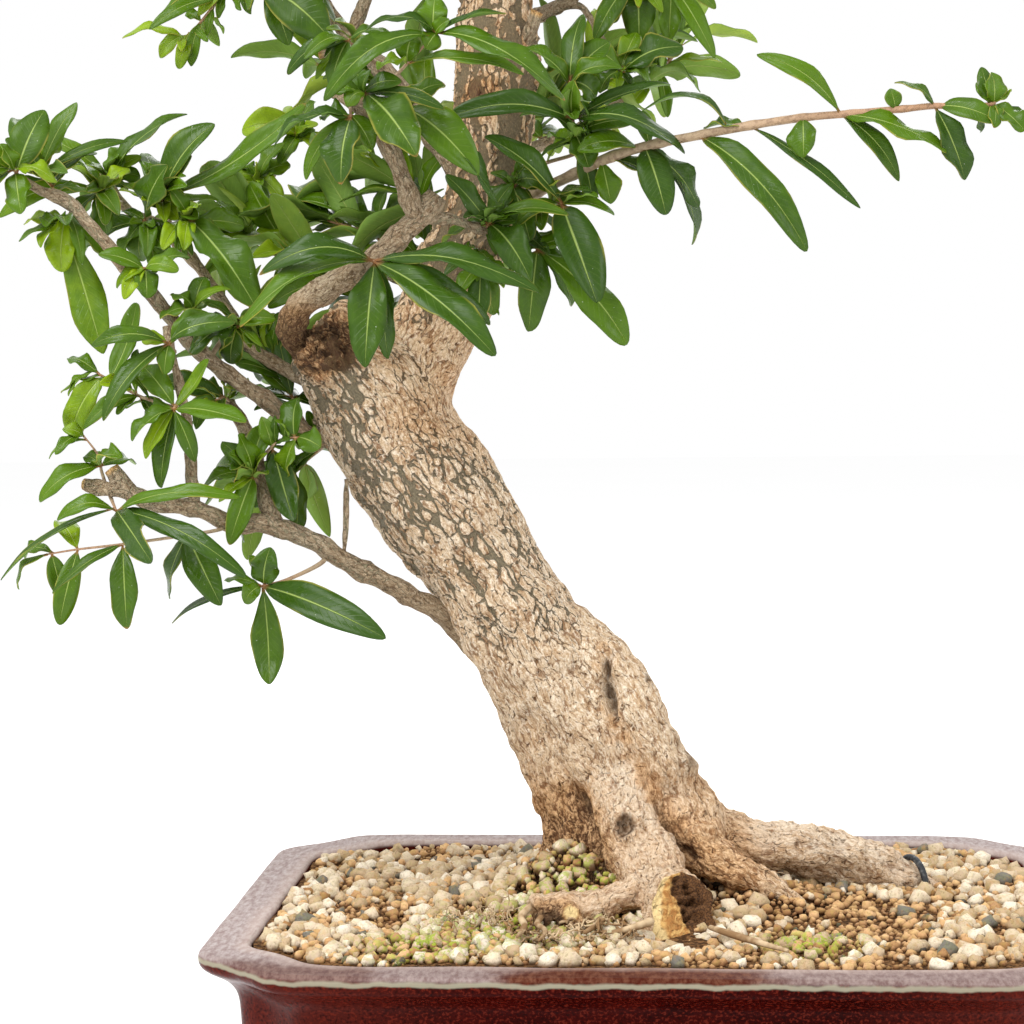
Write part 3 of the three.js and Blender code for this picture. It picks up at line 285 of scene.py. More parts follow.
def glaze_finish():
    """Oxblood glaze with dark specks, a pale line on the lip and a dusty, scratched rim."""
    material, shader, place = finish("oxblood_glaze", Roughness=0.22, Specular_IOR_Level=0.025)
    inset = carried(shader, "inset")
    along, aside, height = apart(place)
    along, aside = along - float(TREE_FOOT[0]), aside - float(TREE_FOOT[1])
    specks, clouds = noise(place, 760.0), noise(place, 45.0, 4.0)
    # Painted shade: the wall is kept darker along its middle than towards its ends, as the lip's shadow.
    wall = layered(
        shaded(clouds, 0.35, 0.7, (0.018, 0.0005, 0.0003), (0.036, 0.0014, 0.0007)),
        (abs(along), 0.06, 0.15, 0.0, 0.7, (0.075, 0.011, 0.007)),
        (specks, 0.52, 0.64, 0.0, 0.8, (0.105, 0.012, 0.006)),
        (specks, 0.44, 0.36, 0.0, 0.6, (0.006, 0.0008, 0.0005)),
    )
    # Brushed dust on the rim's top, rubbed off along parts of the front, with lime near the soil.
    streaks = noise(stretched(place, 1.0, 0.35, 1.0), 420.0, 5.0, 0.7)
    dust = shaded(streaks, 0.3, 0.7, (0.22, 0.156, 0.148), (0.40, 0.35, 0.336))
    bare = shaded(streaks, 0.35, 0.7, (0.055, 0.010, 0.005), (0.135, 0.052, 0.030))
    along = along + (clouds - 0.5) * 0.05
    in_front = ease(aside + clouds * 0.03, -0.112, -0.086, 1.0, 0.0)
    rubbed = ease(along, -0.066, -0.045, 0.4, 1.0) * ease(along, 0.03, 0.055, 1.0, 0.5)
    rubbed = larger(rubbed, ease(along, -0.122, -0.098, 0.75, 0.0))
    lime = (inset + clouds * 9.0, 15.0, 23.0, 0.0, 0.4, (0.46, 0.36, 0.31))
    rim = layered(mix(in_front * rubbed, dust, bare), lime)
    on_top = ease(height, 0.0972, 0.0992)
    # The grey-green line where the glaze runs thin over the lip.
    level = height + (noise(place, 60.0) - 0.5) * 0.004
    thin = ease(level, 0.0958, 0.0968) * ease(level, 0.0976, 0.0988, 1.0, 0.0)
    thin = thin * ease(inset, 8.0, 12.0, 0.8, 0.0)
    colour = mix(thin, mix(on_top, wall, rim), (0.29, 0.27, 0.195))
    relief = noise(place, 180.0) + streaks * 0.5
    colour_with(shader, colour, on_top * 0.38 + streaks * 0.2 + 0.08, relief, 0.0006, 0.5)
    return material


def pot_ring(outline, inset, height):
    """The pot's outline drawn in by a distance, at a height."""
    shrink = [(POT_HALF_LENGTH - inset) / POT_HALF_LENGTH, (POT_HALF_WIDTH - inset) / POT_HALF_WIDTH]
    return np.column_stack([outline * shrink, np.full(len(outline), height)])


def pot_outline():
    """The outline of the lip seen from above, round all four corners."""
    length, width = POT_HALF_LENGTH, POT_HALF_WIDTH
    corner_length, corner_width = POT_CORNER[-1][0], POT_CORNER[0][1]
    corner = through([(length - x, width - y) for x, y in POT_CORNER], 5)
    side = np.linspace((length, corner_width - width), (length, width - corner_width), 22)[1:-1]
    back = np.linspace((length - corner_length, width), (corner_length - length, width), 30)[1:-1]
    half = np.vstack([side, corner, back, corner[::-1] * (-1, 1)])
    return np.vstack([half, -half])


def make_pot(material):
    outline = pot_outline()
    section = through(POT_SECTION, 3)
    rings = [pot_ring(outline, inset, height) for inset, height in section]
    corners = np.vstack([*rings, [[0, 0, POT_SECTION[0][1]], [0, 0, POT_SECTION[-1][1]]]])
    corners += POT_WOBBLE * wander(corners, 70, 5)[:, None] * (1, 1, 0.4)
    pot = mesh_piece("pot_body", in_place(corners), skin(rings), material)
    carry(pot, "inset", np.append(np.repeat(section[:, 0], len(outline)), [FAR_FROM_LIP] * 2))
    return pot


def make_feet(material):
    """Four plain feet that follow the notched corners."""
    outer = np.array((POT_HALF_LENGTH, POT_HALF_WIDTH)) - FOOT_INSET
    inner = outer - FOOT_SIZE
    line = pot_ring(pot_outline(), FOOT_INSET, 0)[:, :2]
    corner = line[(line > inner).all(1)]
    corner = corner[np.argsort(np.arctan2(corner[:, 1] - inner[1], corner[:, 0] - inner[0]))]
    quarter = np.vstack([inner, (outer[0], inner[1]), corner, (inner[0], outer[1])])
    corners, faces = [], []
    for side_x, side_y in ((1, 1), (-1, 1), (-1, -1), (1, -1)):
        loop = (quarter * (side_x, side_y))[:: side_x * side_y]
        middle = loop.mean(0)
        inward = (middle - loop) / np.linalg.norm(middle - loop, axis=1)[:, None]
        rings = []
        for inset, height in FOOT_SECTION:
            rings.append(np.column_stack([loop + inset * inward, np.full(len(loop), height)]))
        faces += skin(rings, len(corners))
        corners += [*np.vstack(rings), (*middle, FOOT_SECTION[0][1]), (*middle, FOOT_SECTION[-1][1])]
    feet = mesh_piece("pot_feet", in_place(corners), faces, material)
    carry(feet, "inset", np.full(len(corners), float(FAR_FROM_LIP)))
    return feet


def bored(pot):
    """The pot with its drain holes."""
    pegs = []
    for side in (-1, 1):
        bpy.ops.mesh.primitive_cylinder_add(
            vertices=40, radius=DRAIN_RADIUS * MM, depth=DRAIN_DEPTH * MM,
            location=tuple(in_place([side * DRAIN_OFFSET, 0, POT_SECTION[-1][1]])),
        )
        pegs.append(bpy.context.object)
        hole = pot.modifiers.new("drain", "BOOLEAN")
        hole.operation = "DIFFERENCE"
        hole.solver = "EXACT"
        hole.object = pegs[-1]
    baked(pot).data.set_sharp_from_angle(angle=math.radians(50))
    for peg in pegs:
        bpy.data.objects.remove(peg)
    return pot


glaze = glaze_finish()
pot = joined("glazed_pot", [bored(make_pot(glaze)), make_feet(glaze)])
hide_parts("pot")
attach(pot, "root")


# Soil: a bed of hard fired-clay crumbs with a loose top layer of cream pumice and orange-brown clay grains,
# poured in and brushed level, a little higher at the front. Algae have greened its damp spots.

GRAIN_SEED = 71
SOIL_LEVEL = 84
WALL_ROOM = 3.4
LONGEST_EDGE = 5
# Grains in metres: how far apart, their half-size from and to, how far they stand up, how deep they are
# dented, and the share that is missing in bare patches.
PUMICE = {"Spacing": 0.0046, "Smallest": 0.0016, "Largest": 0.0042, "Rise": 0.0012, "Lump": 0.0038, "Bare": 0.7}
CLAY = {"Spacing": 0.0044, "Smallest": 0.0014, "Largest": 0.0027, "Rise": 0.0008, "Lump": 0.0014, "Bare": 0.2}
CRUMBS = {"Spacing": 0.0027, "Smallest": 0.0009, "Largest": 0.0018, "Rise": 0.0003, "Lump": 0.0009, "Bare": 0.0}
# Where grains are heaped higher round the trunk's foot, or lie lower: place, reach and height.
HEAPS = [((-36, -2), 24, 16), ((-58, 20), 24, 6), ((52, -10), 20, 5), ((8, -78), 13, -4)]
# Where crumbs lie bare of larger grains, and where algae grow: middle and reach.
CRUMB_SPOT = ((72, -30, 100), 62)
DAMP_SPOTS = [((-30, -25, 100), 55), ((60, -85, 100), 34), ((-95, -95, 100), 42), ((-60, -60, 100), 60)]


def scaled(vector, value):
    return given_by(vector.tree, "ShaderNodeVectorMath", {0: vector, "Scale": value}, operation="SCALE")


def three_noises(vector, scale, detail):
    """A random vector that changes smoothly from place to place."""
    return given_by(vector.tree, "ShaderNodeTexNoise", {"Vector": vector, "Scale": scale, "Detail": detail}, 1)


def away_from(place, spot):
    """How far a place is from a spot, in metres."""
    inputs = {0: place, 1: tuple(in_place(spot))}
    return given_by(place.tree, "ShaderNodeVectorMath", inputs, "Value", operation="DISTANCE")


def new_nodes_tree(name, inputs):
    """An empty Geometry Nodes tree with named inputs, and what its group input gives."""
    tree = bpy.data.node_groups.new(name, "GeometryNodeTree")
    for title, kind in {"Geometry": "Geometry", **inputs}.items():
        tree.interface.new_socket(title, in_out="INPUT", socket_type=f"NodeSocket{kind}")
    tree.interface.new_socket("Geometry", in_out="OUTPUT", socket_type="NodeSocketGeometry")
    return tree, {socket.name: Field(socket) for socket in tree.nodes.new("NodeGroupInput").outputs}


def named(tree, name, kind="FLOAT"):
    """A value that the geometry carries."""
    return given_by(tree, "GeometryNodeInputNamedAttribute", {"Name": name}, data_type=kind)


def changed(geometry, kind, **inputs):
    """Geometry after a node of a kind, with its other inputs."""
    return given_by(geometry.tree, f"GeometryNode{kind}", {"Geometry": geometry, **inputs})


def stored(geometry, name, value, kind="FLOAT"):
    """Geometry with a value stored on its points under a name."""
    inputs = {"Geometry": geometry, "Name": name, "Value": value}
    return given_by(geometry.tree, "GeometryNodeStoreNamedAttribute", inputs, data_type=kind, domain="POINT")


def strewn(points, shape, **inputs):
    """A copy of a shape on each point, as real geometry."""
    inputs = {"Points": points, "Instance": shape, **inputs}
    return changed(given_by(points.tree, "GeometryNodeInstanceOnPoints", inputs), "RealizeInstances")


def end_tree(geometry, material):
    """Realizes the instances, gives them their material and closes the tree."""
    done = changed(changed(geometry, "RealizeInstances"), "SetMaterial", Material=material)
    add_node(done.tree, "NodeGroupOutput", {0: done})
    return done.tree


def made_by(tree, piece, values):
    """The piece with the plain mesh that a tree makes of it, its named inputs set."""
    modifier = piece.modifiers.new("nodes", "NODES")
    modifier.node_group = tree
    for item in tree.interface.items_tree:
        if item.name in values:
            modifier[item.identifier] = values[item.name]
    return baked(piece)


def random_value(tree, seed):
    return given_by(tree, "FunctionNodeRandomValue", {"Seed": seed}, 1, data_type="FLOAT")


def random_vector(tree, seed, low, high):
    inputs = {0: low, 1: high, "Seed": seed}
    return given_by(tree, "FunctionNodeRandomValue", inputs, data_type="FLOAT_VECTOR")


def grain_tree(lumpy):
    """Grains strewn over faces: small closed lumps, each turned, sized and dented in its own way."""
    kinds = {key: "Float" for key in PUMICE} | {"Seed": "Int", "Material": "Material"}
    tree, given = new_nodes_tree("grains", kinds)
    place = given_by(tree, "GeometryNodeInputPosition")
    level = apart(place)[2]
    middle, reach = CRUMB_SPOT
    patches = ease(noise(place, 24.0, 2.0), 0.46, 0.62)
    patches = patches + ease(away_from(place, middle), 0.3 * reach * MM, reach * MM, 1.2, 0.0)
    spread = {
        "Mesh": given["Geometry"], "Distance Min": given["Spacing"], "Seed": given["Seed"],
        "Density Max": maths("DIVIDE", 1.6, given["Spacing"] * given["Spacing"]),
        "Density Factor": 1.0 - patches * given["Bare"],
    }
    points = given_by(tree, "GeometryNodeDistributePointsOnFaces", spread, distribute_method="POISSON")
    points = stored(points, "tint", random_value(tree, given["Seed"]))
    points = stored(points, "bed_level", level)
    points = changed(points, "SetPosition", Offset=given_by(tree, "ShaderNodeCombineXYZ", {2: given["Rise"]}))
    if lumpy:
        block = given_by(tree, "GeometryNodeMeshCube", {"Size": (2, 2, 2)})
        rounded = {"Mesh": block, "Level": 1, "Edge Crease": 0.35}
        shape = given_by(tree, "GeometryNodeSubdivisionSurface", rounded)
    else:
        shape = given_by(tree, "GeometryNodeMeshIcoSphere", {"Radius": 1.1, "Subdivisions": 1})
    turn = random_vector(tree, 3, (0, 0, 0), (math.tau,) * 3)
    size = ease(random_value(tree, 5) ** 1.3, 0.0, 1.0, given["Smallest"], given["Largest"])
    uneven = random_vector(tree, 9, (0.72, 0.72, 0.62), (1.35, 1.1, 0.95))
    lumps = strewn(points, shape, Rotation=turn, Scale=scaled(uneven, size))
    dent = vectors("SUBTRACT", three_noises(place, 380.0, 1.0), (0.5, 0.5, 0.5))
    lumps = changed(lumps, "SetPosition", Offset=scaled(dent, given["Lump"]))
    lumps = stored(lumps, "above_bed", level - named(tree, "bed_level"))
    return end_tree(changed(lumps, "SetShadeSmooth"), given["Material"])


def algae(place):
    """How green the soil is at a place: most at the damp spots, with gaps."""
    first, *others = (ease(away_from(place, spot), 0.0, reach * MM, 1.0, 0.0) for spot, reach in DAMP_SPOTS)
    for other in others:
        first = larger(first, other)
    return (first * 0.85 + 0.1) * ease(noise(place, 420.0, 3.0, 0.6), 0.48, 0.54)


def grain_finish(name, colours, odd_colour, odd_share, depth):
    """Porous grains, each of its own shade between three colours, a few of another stone."""
    material, shader, place = finish(name, Roughness=0.92, Specular_IOR_Level=0.25)
    tint = carried(shader, "tint")
    pores = noise(place, 900.0, 4.0, 0.65)
    colour = layered(
        shaded(tint, 0.0, 0.55, *colours[:2]),
        (tint, 0.55, 0.9, 0.0, 1.0, colours[2]),
        (tint, 1 - odd_share, 1.01 - odd_share, 0.0, 1.0, odd_colour),
        (pores, 0.28, 0.5, 0.5, 0.0, (0.2, 0.11, 0.05), "MULTIPLY"),
        (noise(place, 240.0, 2.0), 0.5, 0.72, 0.0, 0.55, (0.42, 0.24, 0.09)),
    )
    colour = mix(algae(place) * 0.95, colour, (0.30, 0.38, 0.03))
    # Painted shade between the grains: whatever lies low is darkened to brown.
    painted_gap_shade = (carried(shader, "above_bed"), -0.0002, 0.0024, 0.92, 0.0, (0.22, 0.12, 0.06), "MULTIPLY")
    colour_with(shader, layered(colour, painted_gap_shade), None, pores, depth, 0.8)
    return material


def soil_top(name):
    """A copy of the bed's upper faces, drawn in a little from the pot's wall."""
    bed = bpy.data.objects["soil"].data
    level = TREE_FOOT[2] + SOIL_LEVEL * MM
    upper = [face for face in bed.polygons if face.normal.z > 0.5 and face.center.z > level]
    top = mesh_piece(name, [corner.co for corner in bed.vertices], [list(face.vertices) for face in upper])
    fine = bmesh.new()
    fine.from_mesh(top.data)
    bmesh.ops.triangulate(fine, faces=fine.faces)
    for _ in range(3):
        long_ones = [edge for edge in fine.edges if edge.calc_length() > LONGEST_EDGE * MM]
        bmesh.ops.subdivide_edges(fine, edges=long_ones, cuts=1)
        bmesh.ops.triangulate(fine, faces=fine.faces)
    fine.to_mesh(top.data)
    fine.free()
    shrink = [1 - WALL_ROOM / POT_HALF_LENGTH, 1 - WALL_ROOM / POT_HALF_WIDTH, 1]
    corners = (np.array([corner.co for corner in top.data.vertices]) - TREE_FOOT) * shrink + TREE_FOOT
    for middle, reach, rise in HEAPS:
        away = np.linalg.norm((corners - in_place((*middle, 0)))[:, :2], axis=1) / MM
        corners[:, 2] += rise * MM * np.exp(-((away / reach) ** 2))
    top.data.vertices.foreach_set("co", corners.ravel())
    return top


pumice_finish = grain_finish(
    "pumice", [(0.74, 0.62, 0.46), (0.48, 0.34, 0.20), (0.80, 0.70, 0.56)], (0.17, 0.155, 0.13), 0.035, 0.0008,
)
clay_finish = grain_finish(
    "fired_clay", [(0.52, 0.30, 0.14), (0.64, 0.40, 0.20), (0.33, 0.17, 0.07)], (0.09, 0.075, 0.06), 0.04,
    0.0004,
)
lump_tree = grain_tree(True)
layers = [
    ("pumice_grains", lump_tree, PUMICE, pumice_finish), ("clay_grains", lump_tree, CLAY, clay_finish),
    ("clay_crumbs", grain_tree(False), CRUMBS, clay_finish),
]
for number, (name, tree, sizes, material) in enumerate(layers):
    grains = made_by(tree, soil_top(name), {**sizes, "Seed": GRAIN_SEED + number, "Material": material})
    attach(grains, "root")
# The bed shows only in the gaps between the grains; its crumbs are painted dark there as painted shade.
bed_shade_finish, bed_shader, bed_place = finish("bed_crumbs_in_shade", Roughness=1.0, Specular_IOR_Level=0.1)
bed_crumbs = noise(bed_place, 520.0)
bed_shade_colour = shaded(bed_crumbs, 0.4, 0.6, (0.05, 0.024, 0.01), (0.20, 0.10, 0.04))
colour_with(bed_shader, bed_shade_colour, None, bed_crumbs, 0.003)
bpy.data.objects["soil"].material_slots[0].material = bed_shade_finish


# Trunk: one grown piece of pomegranate wood, a leaning bole with its surface roots, a fluted buttress, the old
# sawn top with its callus and the younger leader that took over. Corky tan bark below, olive skin above.

# Middle of the stem and its radius in millimetres, from the root mass below the soil up to the old sawn top.
BOLE = [
    (4, 30, 62, 26), (0, 30, 82, 34), (-7, 30, 101, 37), (-14, 30, 122, 34), (-20, 28, 143, 32),
    (-32, 26, 168, 30.5), (-49, 24, 196, 28), (-61, 22, 216, 26.5), (-81, 20, 248, 25),
    (-100, 20, 275, 29.5), (-116, 20, 300, 29), (-128, 17, 322, 28), (-140, 14, 338, 24), (-152, 11, 349, 20),
]
LEADER = [
    (-110, 20, 292, 24), (-116, 23, 312, 21), (-108, 26, 335, 18.5), (-97, 28, 359, 19.5), (-88, 30, 380, 19),
    (-80, 30, 402, 17), (-75, 30, 424, 16.5), (-72, 30, 453, 18.5), (-71, 30, 497, 16), (-73, 28, 530, 12),
    (-77, 26, 562, 9), (-79, 26, 590, 6), (-78, 26, 612, 3.2),
]
BUTTRESS = [
    (-54, 20, 233, 4), (-38, 18, 222, 6), (-26, 12, 205, 11), (-15, 8, 187, 13), (-6, 8, 169, 14),
    (3, 10, 146, 14), (13, 16, 127, 15), (20, 20, 108, 13), (24, 22, 92, 9),
]
ROOTS = {
    "front": [(-20, 14, 158, 15), (-15, 6, 142, 18), (-11, -10, 125, 16.5), (-5, -26, 115, 14),
              (2, -40, 109, 12), (6, -52, 110, 12), (8.2, -61, 112, 11.5), (9.5, -70, 111, 11)],
    "front_left_arm": [(-5, -26, 114, 10), (-18, -41, 108.5, 9), (-31, -48, 105.5, 8.5), (-43, -52, 104.5, 9),
                       (-52, -55, 103, 8.5)],
    "front_right": [(10, 6, 136, 14), (19, -5, 122, 11), (34, -12, 115, 8), (45, -13, 109, 7),
                    (56, -13, 101, 5.5), (64, -13, 90, 3.5)],
    "right": [(10, 26, 132, 14), (24, 25, 124, 11), (40, 23, 120, 10.5), (60, 27, 117.5, 11),
              (80, 31, 110.5, 11), (96, 36, 104.5, 10.5), (109, 40, 99, 9), (124, 45, 90, 6)],
    "left": [(-32, 28, 142, 18), (-40, 27, 124, 13), (-46, 26, 109, 12), (-51, 25, 94, 9)],
    "back": [(-8, 44, 130, 18), (-12, 62, 115, 12), (-18, 80, 103, 8), (-24, 96, 92, 5)],
    "toe": [(1, -42, 105, 10), (6.5, -55, 103, 12), (10.5, -70, 102, 12.3)],
    "arm_stub": [(-41, -51, 105, 6), (-38.2, -60, 107, 5.4), (-37.2, -69, 108.4, 5.2)],
}
STEMS = ["bole", "leader", "buttress", *ROOTS]
BOLE_SIDES = 48
ROOT_SIDES = 28
# Sizes of the trunk's faces in metres, while it takes its form and once its details are carved.
ROUGH_FACES = 0.0028
FINE_FACES = 0.00135
# Above this height the joins between stems are rounded off most.
JOINS_ABOVE = 117
# Places on the trunk that are cut, rotted, hollow or knotted: middle and reach, and the way that a cut faces.
SAWN_ROOT = ((6.5, -62, 111), 21, np.array([0.25, -0.862, 0.441]))
SMALL_CUT = ((-37.4, -65, 108.1), 7, np.array([0.1, -0.95, 0.296]))
ARM_END = ((-45, -62, 102), 11)
CALLUS = ((-148, -9, 346), 17)
LEADER_SCAR = ((-77, 13.5, 452), 9)
KNOT = ((-15.6, -21.5, 135.5), 4.2)
SNAGS = [((-5.5, 0.5, 197), 3), ((13, 2, 160), 5), ((9, -2, 170), 3.5)]
DIRTY_FOOT = ((-42, 6, 120), 26)
CLEFT = np.array([(-24.8, -4, 216), (-24.2, -4, 206), (-23.5, -4, 193), (-21.5, -4, 185), (-19.8, -4, 179)])
CLEFT_LIP = CLEFT - (4.2, 0, -2)
FOLDS = [
    [(-40, 2, 153), (-35, -1, 143), (-31, -6, 134), (-26, -13, 124)],
    [(-3, -5, 148), (0, -6, 138), (7, -10, 127), (13, -16, 121)],
]
VALLEY = [(-32, 2, 228), (-25, -4, 216), (-20, -5, 176), (-11, -6, 161), (-3, -5, 148)]
# The folds and the valley as broad hollows: line, depth and width.
HOLLOWS = [(FOLDS[0], 2.6, 4.4), (FOLDS[1], 2.2, 4.0), (VALLEY, 2.0, 5.0)]
# Creases run straight into the wood, so they are measured with the depth from front to back shrunk.
FLAT = np.array([1, 0.25, 1])
# The height of the bark's relief, in metres.
BARK_DEPTH = 0.0017
# What a station holds: its place and radius, its frame's three directions, how far along its stem it lies, and
# the number of its stem.
PLACE, ACROSS, THIRD, ALONG = slice(0, 3), slice(4, 7), slice(7, 10), slice(10, 13)
RADIUS, WALKED, STEM = 3, 13, 14
# Where the frames' first direction starts from. No stem sets out along it.
FIRST_ACROSS = np.array([0.13, 1.0, 0.21])
# Bark patterns of stems differ because each stem's grain starts this far from the next one's.
STEM_APART = 400


def stem(rows, step, sides, swell):
    """A closed stem through [x, y, z, radius] rows: its rings and its stations, all but their stem's number."""
    rows = np.asarray(rows, float)
    fine = through(rows, 12)
    walked = np.append(0, np.cumsum(np.linalg.norm(np.diff(fine[:, :3], axis=0), axis=1)))
    count = max(3, int(walked[-1] / step))
    places = np.linspace(0, walked[-1], count + 1)
    line = np.column_stack([np.interp(places, walked, fine[:, k]) for k in range(4)])
    angles = np.arange(sides) * math.tau / sides
    across = FIRST_ACROSS
    rings, stations = [], []
    for i, (x, y, z, radius) in enumerate(line):
        along = line[min(i + 1, count), :3] - line[max(i - 1, 0), :3]
        along /= np.linalg.norm(along)
        across = across - across @ along * along
        across /= np.linalg.norm(across)
        third = np.cross(along, across)
        reach = radius * swell(angles, places[i]) * np.ones(sides)
        ring = np.outer(np.cos(angles), across) + np.outer(np.sin(angles), third)
        rings.append((x, y, z) + reach[:, None] * ring)
        stations.append((*line[i], *across, *third, *along, places[i]))
    return rings, stations


def bole_swell(angles, place):
    """Broad flutes that wind up the stem."""
    turn = place / 60
    coarse = 0.045 * np.sin(3 * angles + turn) + 0.03 * np.sin(5 * angles - 1.4 * turn)
    return 1 + coarse + 0.018 * np.sin(9 * angles + 2 * turn)


def root_swell(angles, place):
    """Lumps along a root."""
    return 1 + 0.07 * np.sin(2 * angles + place / 22) + 0.05 * np.sin(3 * angles - place / 14)


def closed(rings):
    """The corners of rings, then the middles of the first and the last."""
    return [*np.vstack(rings), rings[0].mean(0), rings[-1].mean(0)]


def joined_stems(name, parts):
    """One mesh of closed stems, and all their stations."""
    corners, faces, stations = [], [], []
    for number, (rings, rows) in enumerate(parts):
        faces += skin(rings, len(corners))
        corners += closed(rings)
        stations += [(*row, number) for row in rows]
    return mesh_piece(name, in_place(corners), faces), np.array(stations)


def remeshed(piece, size):
    """The union of a piece's closed parts as one even skin of quads."""
    chosen(piece)
    piece.data.remesh_voxel_size = size
    bpy.ops.object.voxel_remesh()


def smoothed(piece, times, group=""):
    """Rounds off a piece's creases, or only those of a vertex group."""
    modifier = piece.modifiers.new("smooth", "SMOOTH")
    modifier.factor = 0.5
    modifier.iterations = times
    modifier.vertex_group = group
    bpy.ops.object.modifier_apply(modifier="smooth")


def read_from(items, name, width=1, kind=float):
    """A value of each item of a mesh, or three."""
    flat = np.empty(len(items) * width, kind)
    items.foreach_get(name, flat)
    return flat if width == 1 else flat.reshape(-1, width)


def places_of(piece):
    """A piece's corners in millimetres from the middle of the pot's footprint."""
    return (read_from(piece.data.vertices, "co", 3) - TREE_FOOT) / MM


def normals_of(piece):
    return read_from(piece.data.vertices, "normal", 3)


def reshaped(piece, places):
    """Moves a piece's corners to places in millimetres."""
    piece.data.vertices.foreach_set("co", in_place(places).ravel())
    piece.data.update()


def step_between(value, low, high):
    share = np.clip((value - low) / (high - low), 0, 1)
    return share * share * (3 - 2 * share)


def near_line(places, line):
    """Distance of each place from a line through points."""
    best = np.full(len(places), 1e9)
    for start, end in zip(np.asarray(line, float), np.asarray(line, float)[1:]):
        span = end - start
        share = np.clip((places - start) @ span / (span @ span), 0, 1)
        best = np.minimum(best, np.linalg.norm(places - start - share[:, None] * span, axis=1))
    return best


def ridge(places, line, width, wobble=0.0):
    """1 along a line through points, falling to nothing a little beyond a width from it."""
    return np.exp(-(((near_line(places, line) + wobble) / width) ** 2))


def below(places, line):
    """Nothing at the upper end of a line, growing to 1 some way down it."""
    return step_between(line[0][2] - places[:, 2], -2, 10)


def lump_at(places, spot, reach, power=2):
    """1 at a spot, falling to nothing a little beyond its reach."""
    return np.exp(-((np.linalg.norm(places - spot, axis=1) / reach) ** power))


def from_knot(places):
    """Distance of each place from the knot, which is taller than wide."""
    return np.linalg.norm((places - KNOT[0]) * (1, 1, 0.75), axis=1)


def nearest_station(places, stations):
    """For each place, the station of the stem it lies on, and how much nearer that is than the next stem."""
    found, lead = np.empty(len(places), int), np.empty(len(places))
    firsts = np.flatnonzero(np.diff(stations[:, STEM], prepend=-1))
    batch = 4000
    for first in range(0, len(places), batch):
        part = places[first : first + batch]
        away = np.linalg.norm(part[:, None] - stations[None, :, PLACE], axis=2) - stations[None, :, RADIUS]
        found[first : first + batch] = away.argmin(1)
        ranked = np.sort(np.minimum.reduceat(away, firsts, axis=1), axis=1)
        lead[first : first + batch] = ranked[:, min(1, len(firsts) - 1)] - ranked[:, 0]
    return stations[found], lead


def depth_in(places, stations, *names):
    """How far inside the nearest of some of the trunk's stems each place lies; below 0 outside."""
    wanted = stations[np.isin(stations[:, STEM], [STEMS.index(name) for name in names])]
    row, _ = nearest_station(places, wanted)
    return row[:, RADIUS] - np.linalg.norm(places - row[:, PLACE], axis=1)


def grain_at(places, row):
    """Each place's offsets from its station, across, across the other way and along, in metres."""
    offset = places - row[:, PLACE]
    across, third = (offset * row[:, ACROSS]).sum(1), (offset * row[:, THIRD]).sum(1)
    along = row[:, WALKED] + (offset * row[:, ALONG]).sum(1)
    return (np.column_stack([across, third, along]) + STEM_APART * row[:, STEM:]) * MM


def carry_grain(piece, stations, fine=1.0):
    """Stores each corner's place on its stem, and for each face the places on one and the same stem."""
    places = places_of(piece)
    row, lead = nearest_station(places, stations)
    grain = fine * grain_at(places, row)
    carry(piece, "grain", grain)
    carry(piece, "calm", step_between(lead, 0.3, 3.0))
    corner = read_from(piece.data.loops, "vertex_index", kind=int)
    start, total = (read_from(piece.data.polygons, name, kind=int) for name in ("loop_start", "loop_total"))
    owner = row[:, STEM].astype(int)
    wanted = np.repeat(owner[corner[start]], total)
    shown = grain[corner]
    for number in np.unique(wanted):
        stray = (wanted == number) & (owner[corner] != number)
        if stray.any():
            spots = places[corner[stray]]
            own_row, _ = nearest_station(spots, stations[stations[:, STEM] == number])
            shown[stray] = fine * grain_at(spots, own_row)
    layer = piece.data.attributes.new("face_grain", "FLOAT_VECTOR", "CORNER")
    layer.data.foreach_set("vector", shown.ravel())
    return owner


def cells(vector, scale, *outputs, feature="F1"):
    """What is given by small cells that fill space, each round a random spot."""
    node = add_node(vector.tree, "ShaderNodeTexVoronoi", {"Vector": vector, "Scale": scale}, feature=feature)
    return [Field(node.outputs[name]) for name in outputs]


def bark_forms(grain, young):
    """The bark's forms: fibres, pits, flakes with their shades, and cork plates that part on young skin."""
    bent = vectors("ADD", grain, scaled(three_noises(grain, 70.0, 2.0), 0.007))
    fibres = noise(stretched(bent, 1, 1, 0.18), 400.0, 5.0, 0.65)
    pits = noise(stretched(bent, 1, 1, 0.5), 640.0, 4.0, 0.72)
    ragged = (noise(bent, 560.0) - 0.5) * 0.5
    flakes, shades = cells(stretched(bent, 1, 1, 0.36), 430.0, "Distance", "Color")
    (plates,) = cells(stretched(bent, 1, 1, 0.40), 285.0, "Distance", feature="DISTANCE_TO_EDGE")
    streaks = noise(stretched(bent, 1, 1, 0.13), 150.0, 2.0) - 0.41
    parted = young * larger(streaks * 1.6, 0.02)
    cork = ease(plates + ragged * 0.6 - parted, -0.05, 0.02)
    return (fibres, pits, 1.0 - (flakes + ragged), cork), shades


def bark_height(fibres, pits, domed, cork):
    """The relief that these forms make, about 0 to 1."""
    corky = fibres * 0.4 + pits * 0.4 + domed * 0.35
    return cork * (corky * 0.8 + 0.2) + fibres * 0.12


def relief_tree():
    """Moves a skin out along its normals by the bark's relief."""
    tree, given = new_nodes_tree("bark_relief", {"Depth": "Float", "Material": "Material"})
    height = bark_height(*bark_forms(named(tree, "grain", "FLOAT_VECTOR"), named(tree, "young"))[0])
    lift = (height - 0.6) * given["Depth"] * named(tree, "calm") * (1.0 - named(tree, "cut"))
    normal = given_by(tree, "GeometryNodeInputNormal")
    return end_tree(changed(given["Geometry"], "SetPosition", Offset=scaled(normal, lift)), given["Material"])


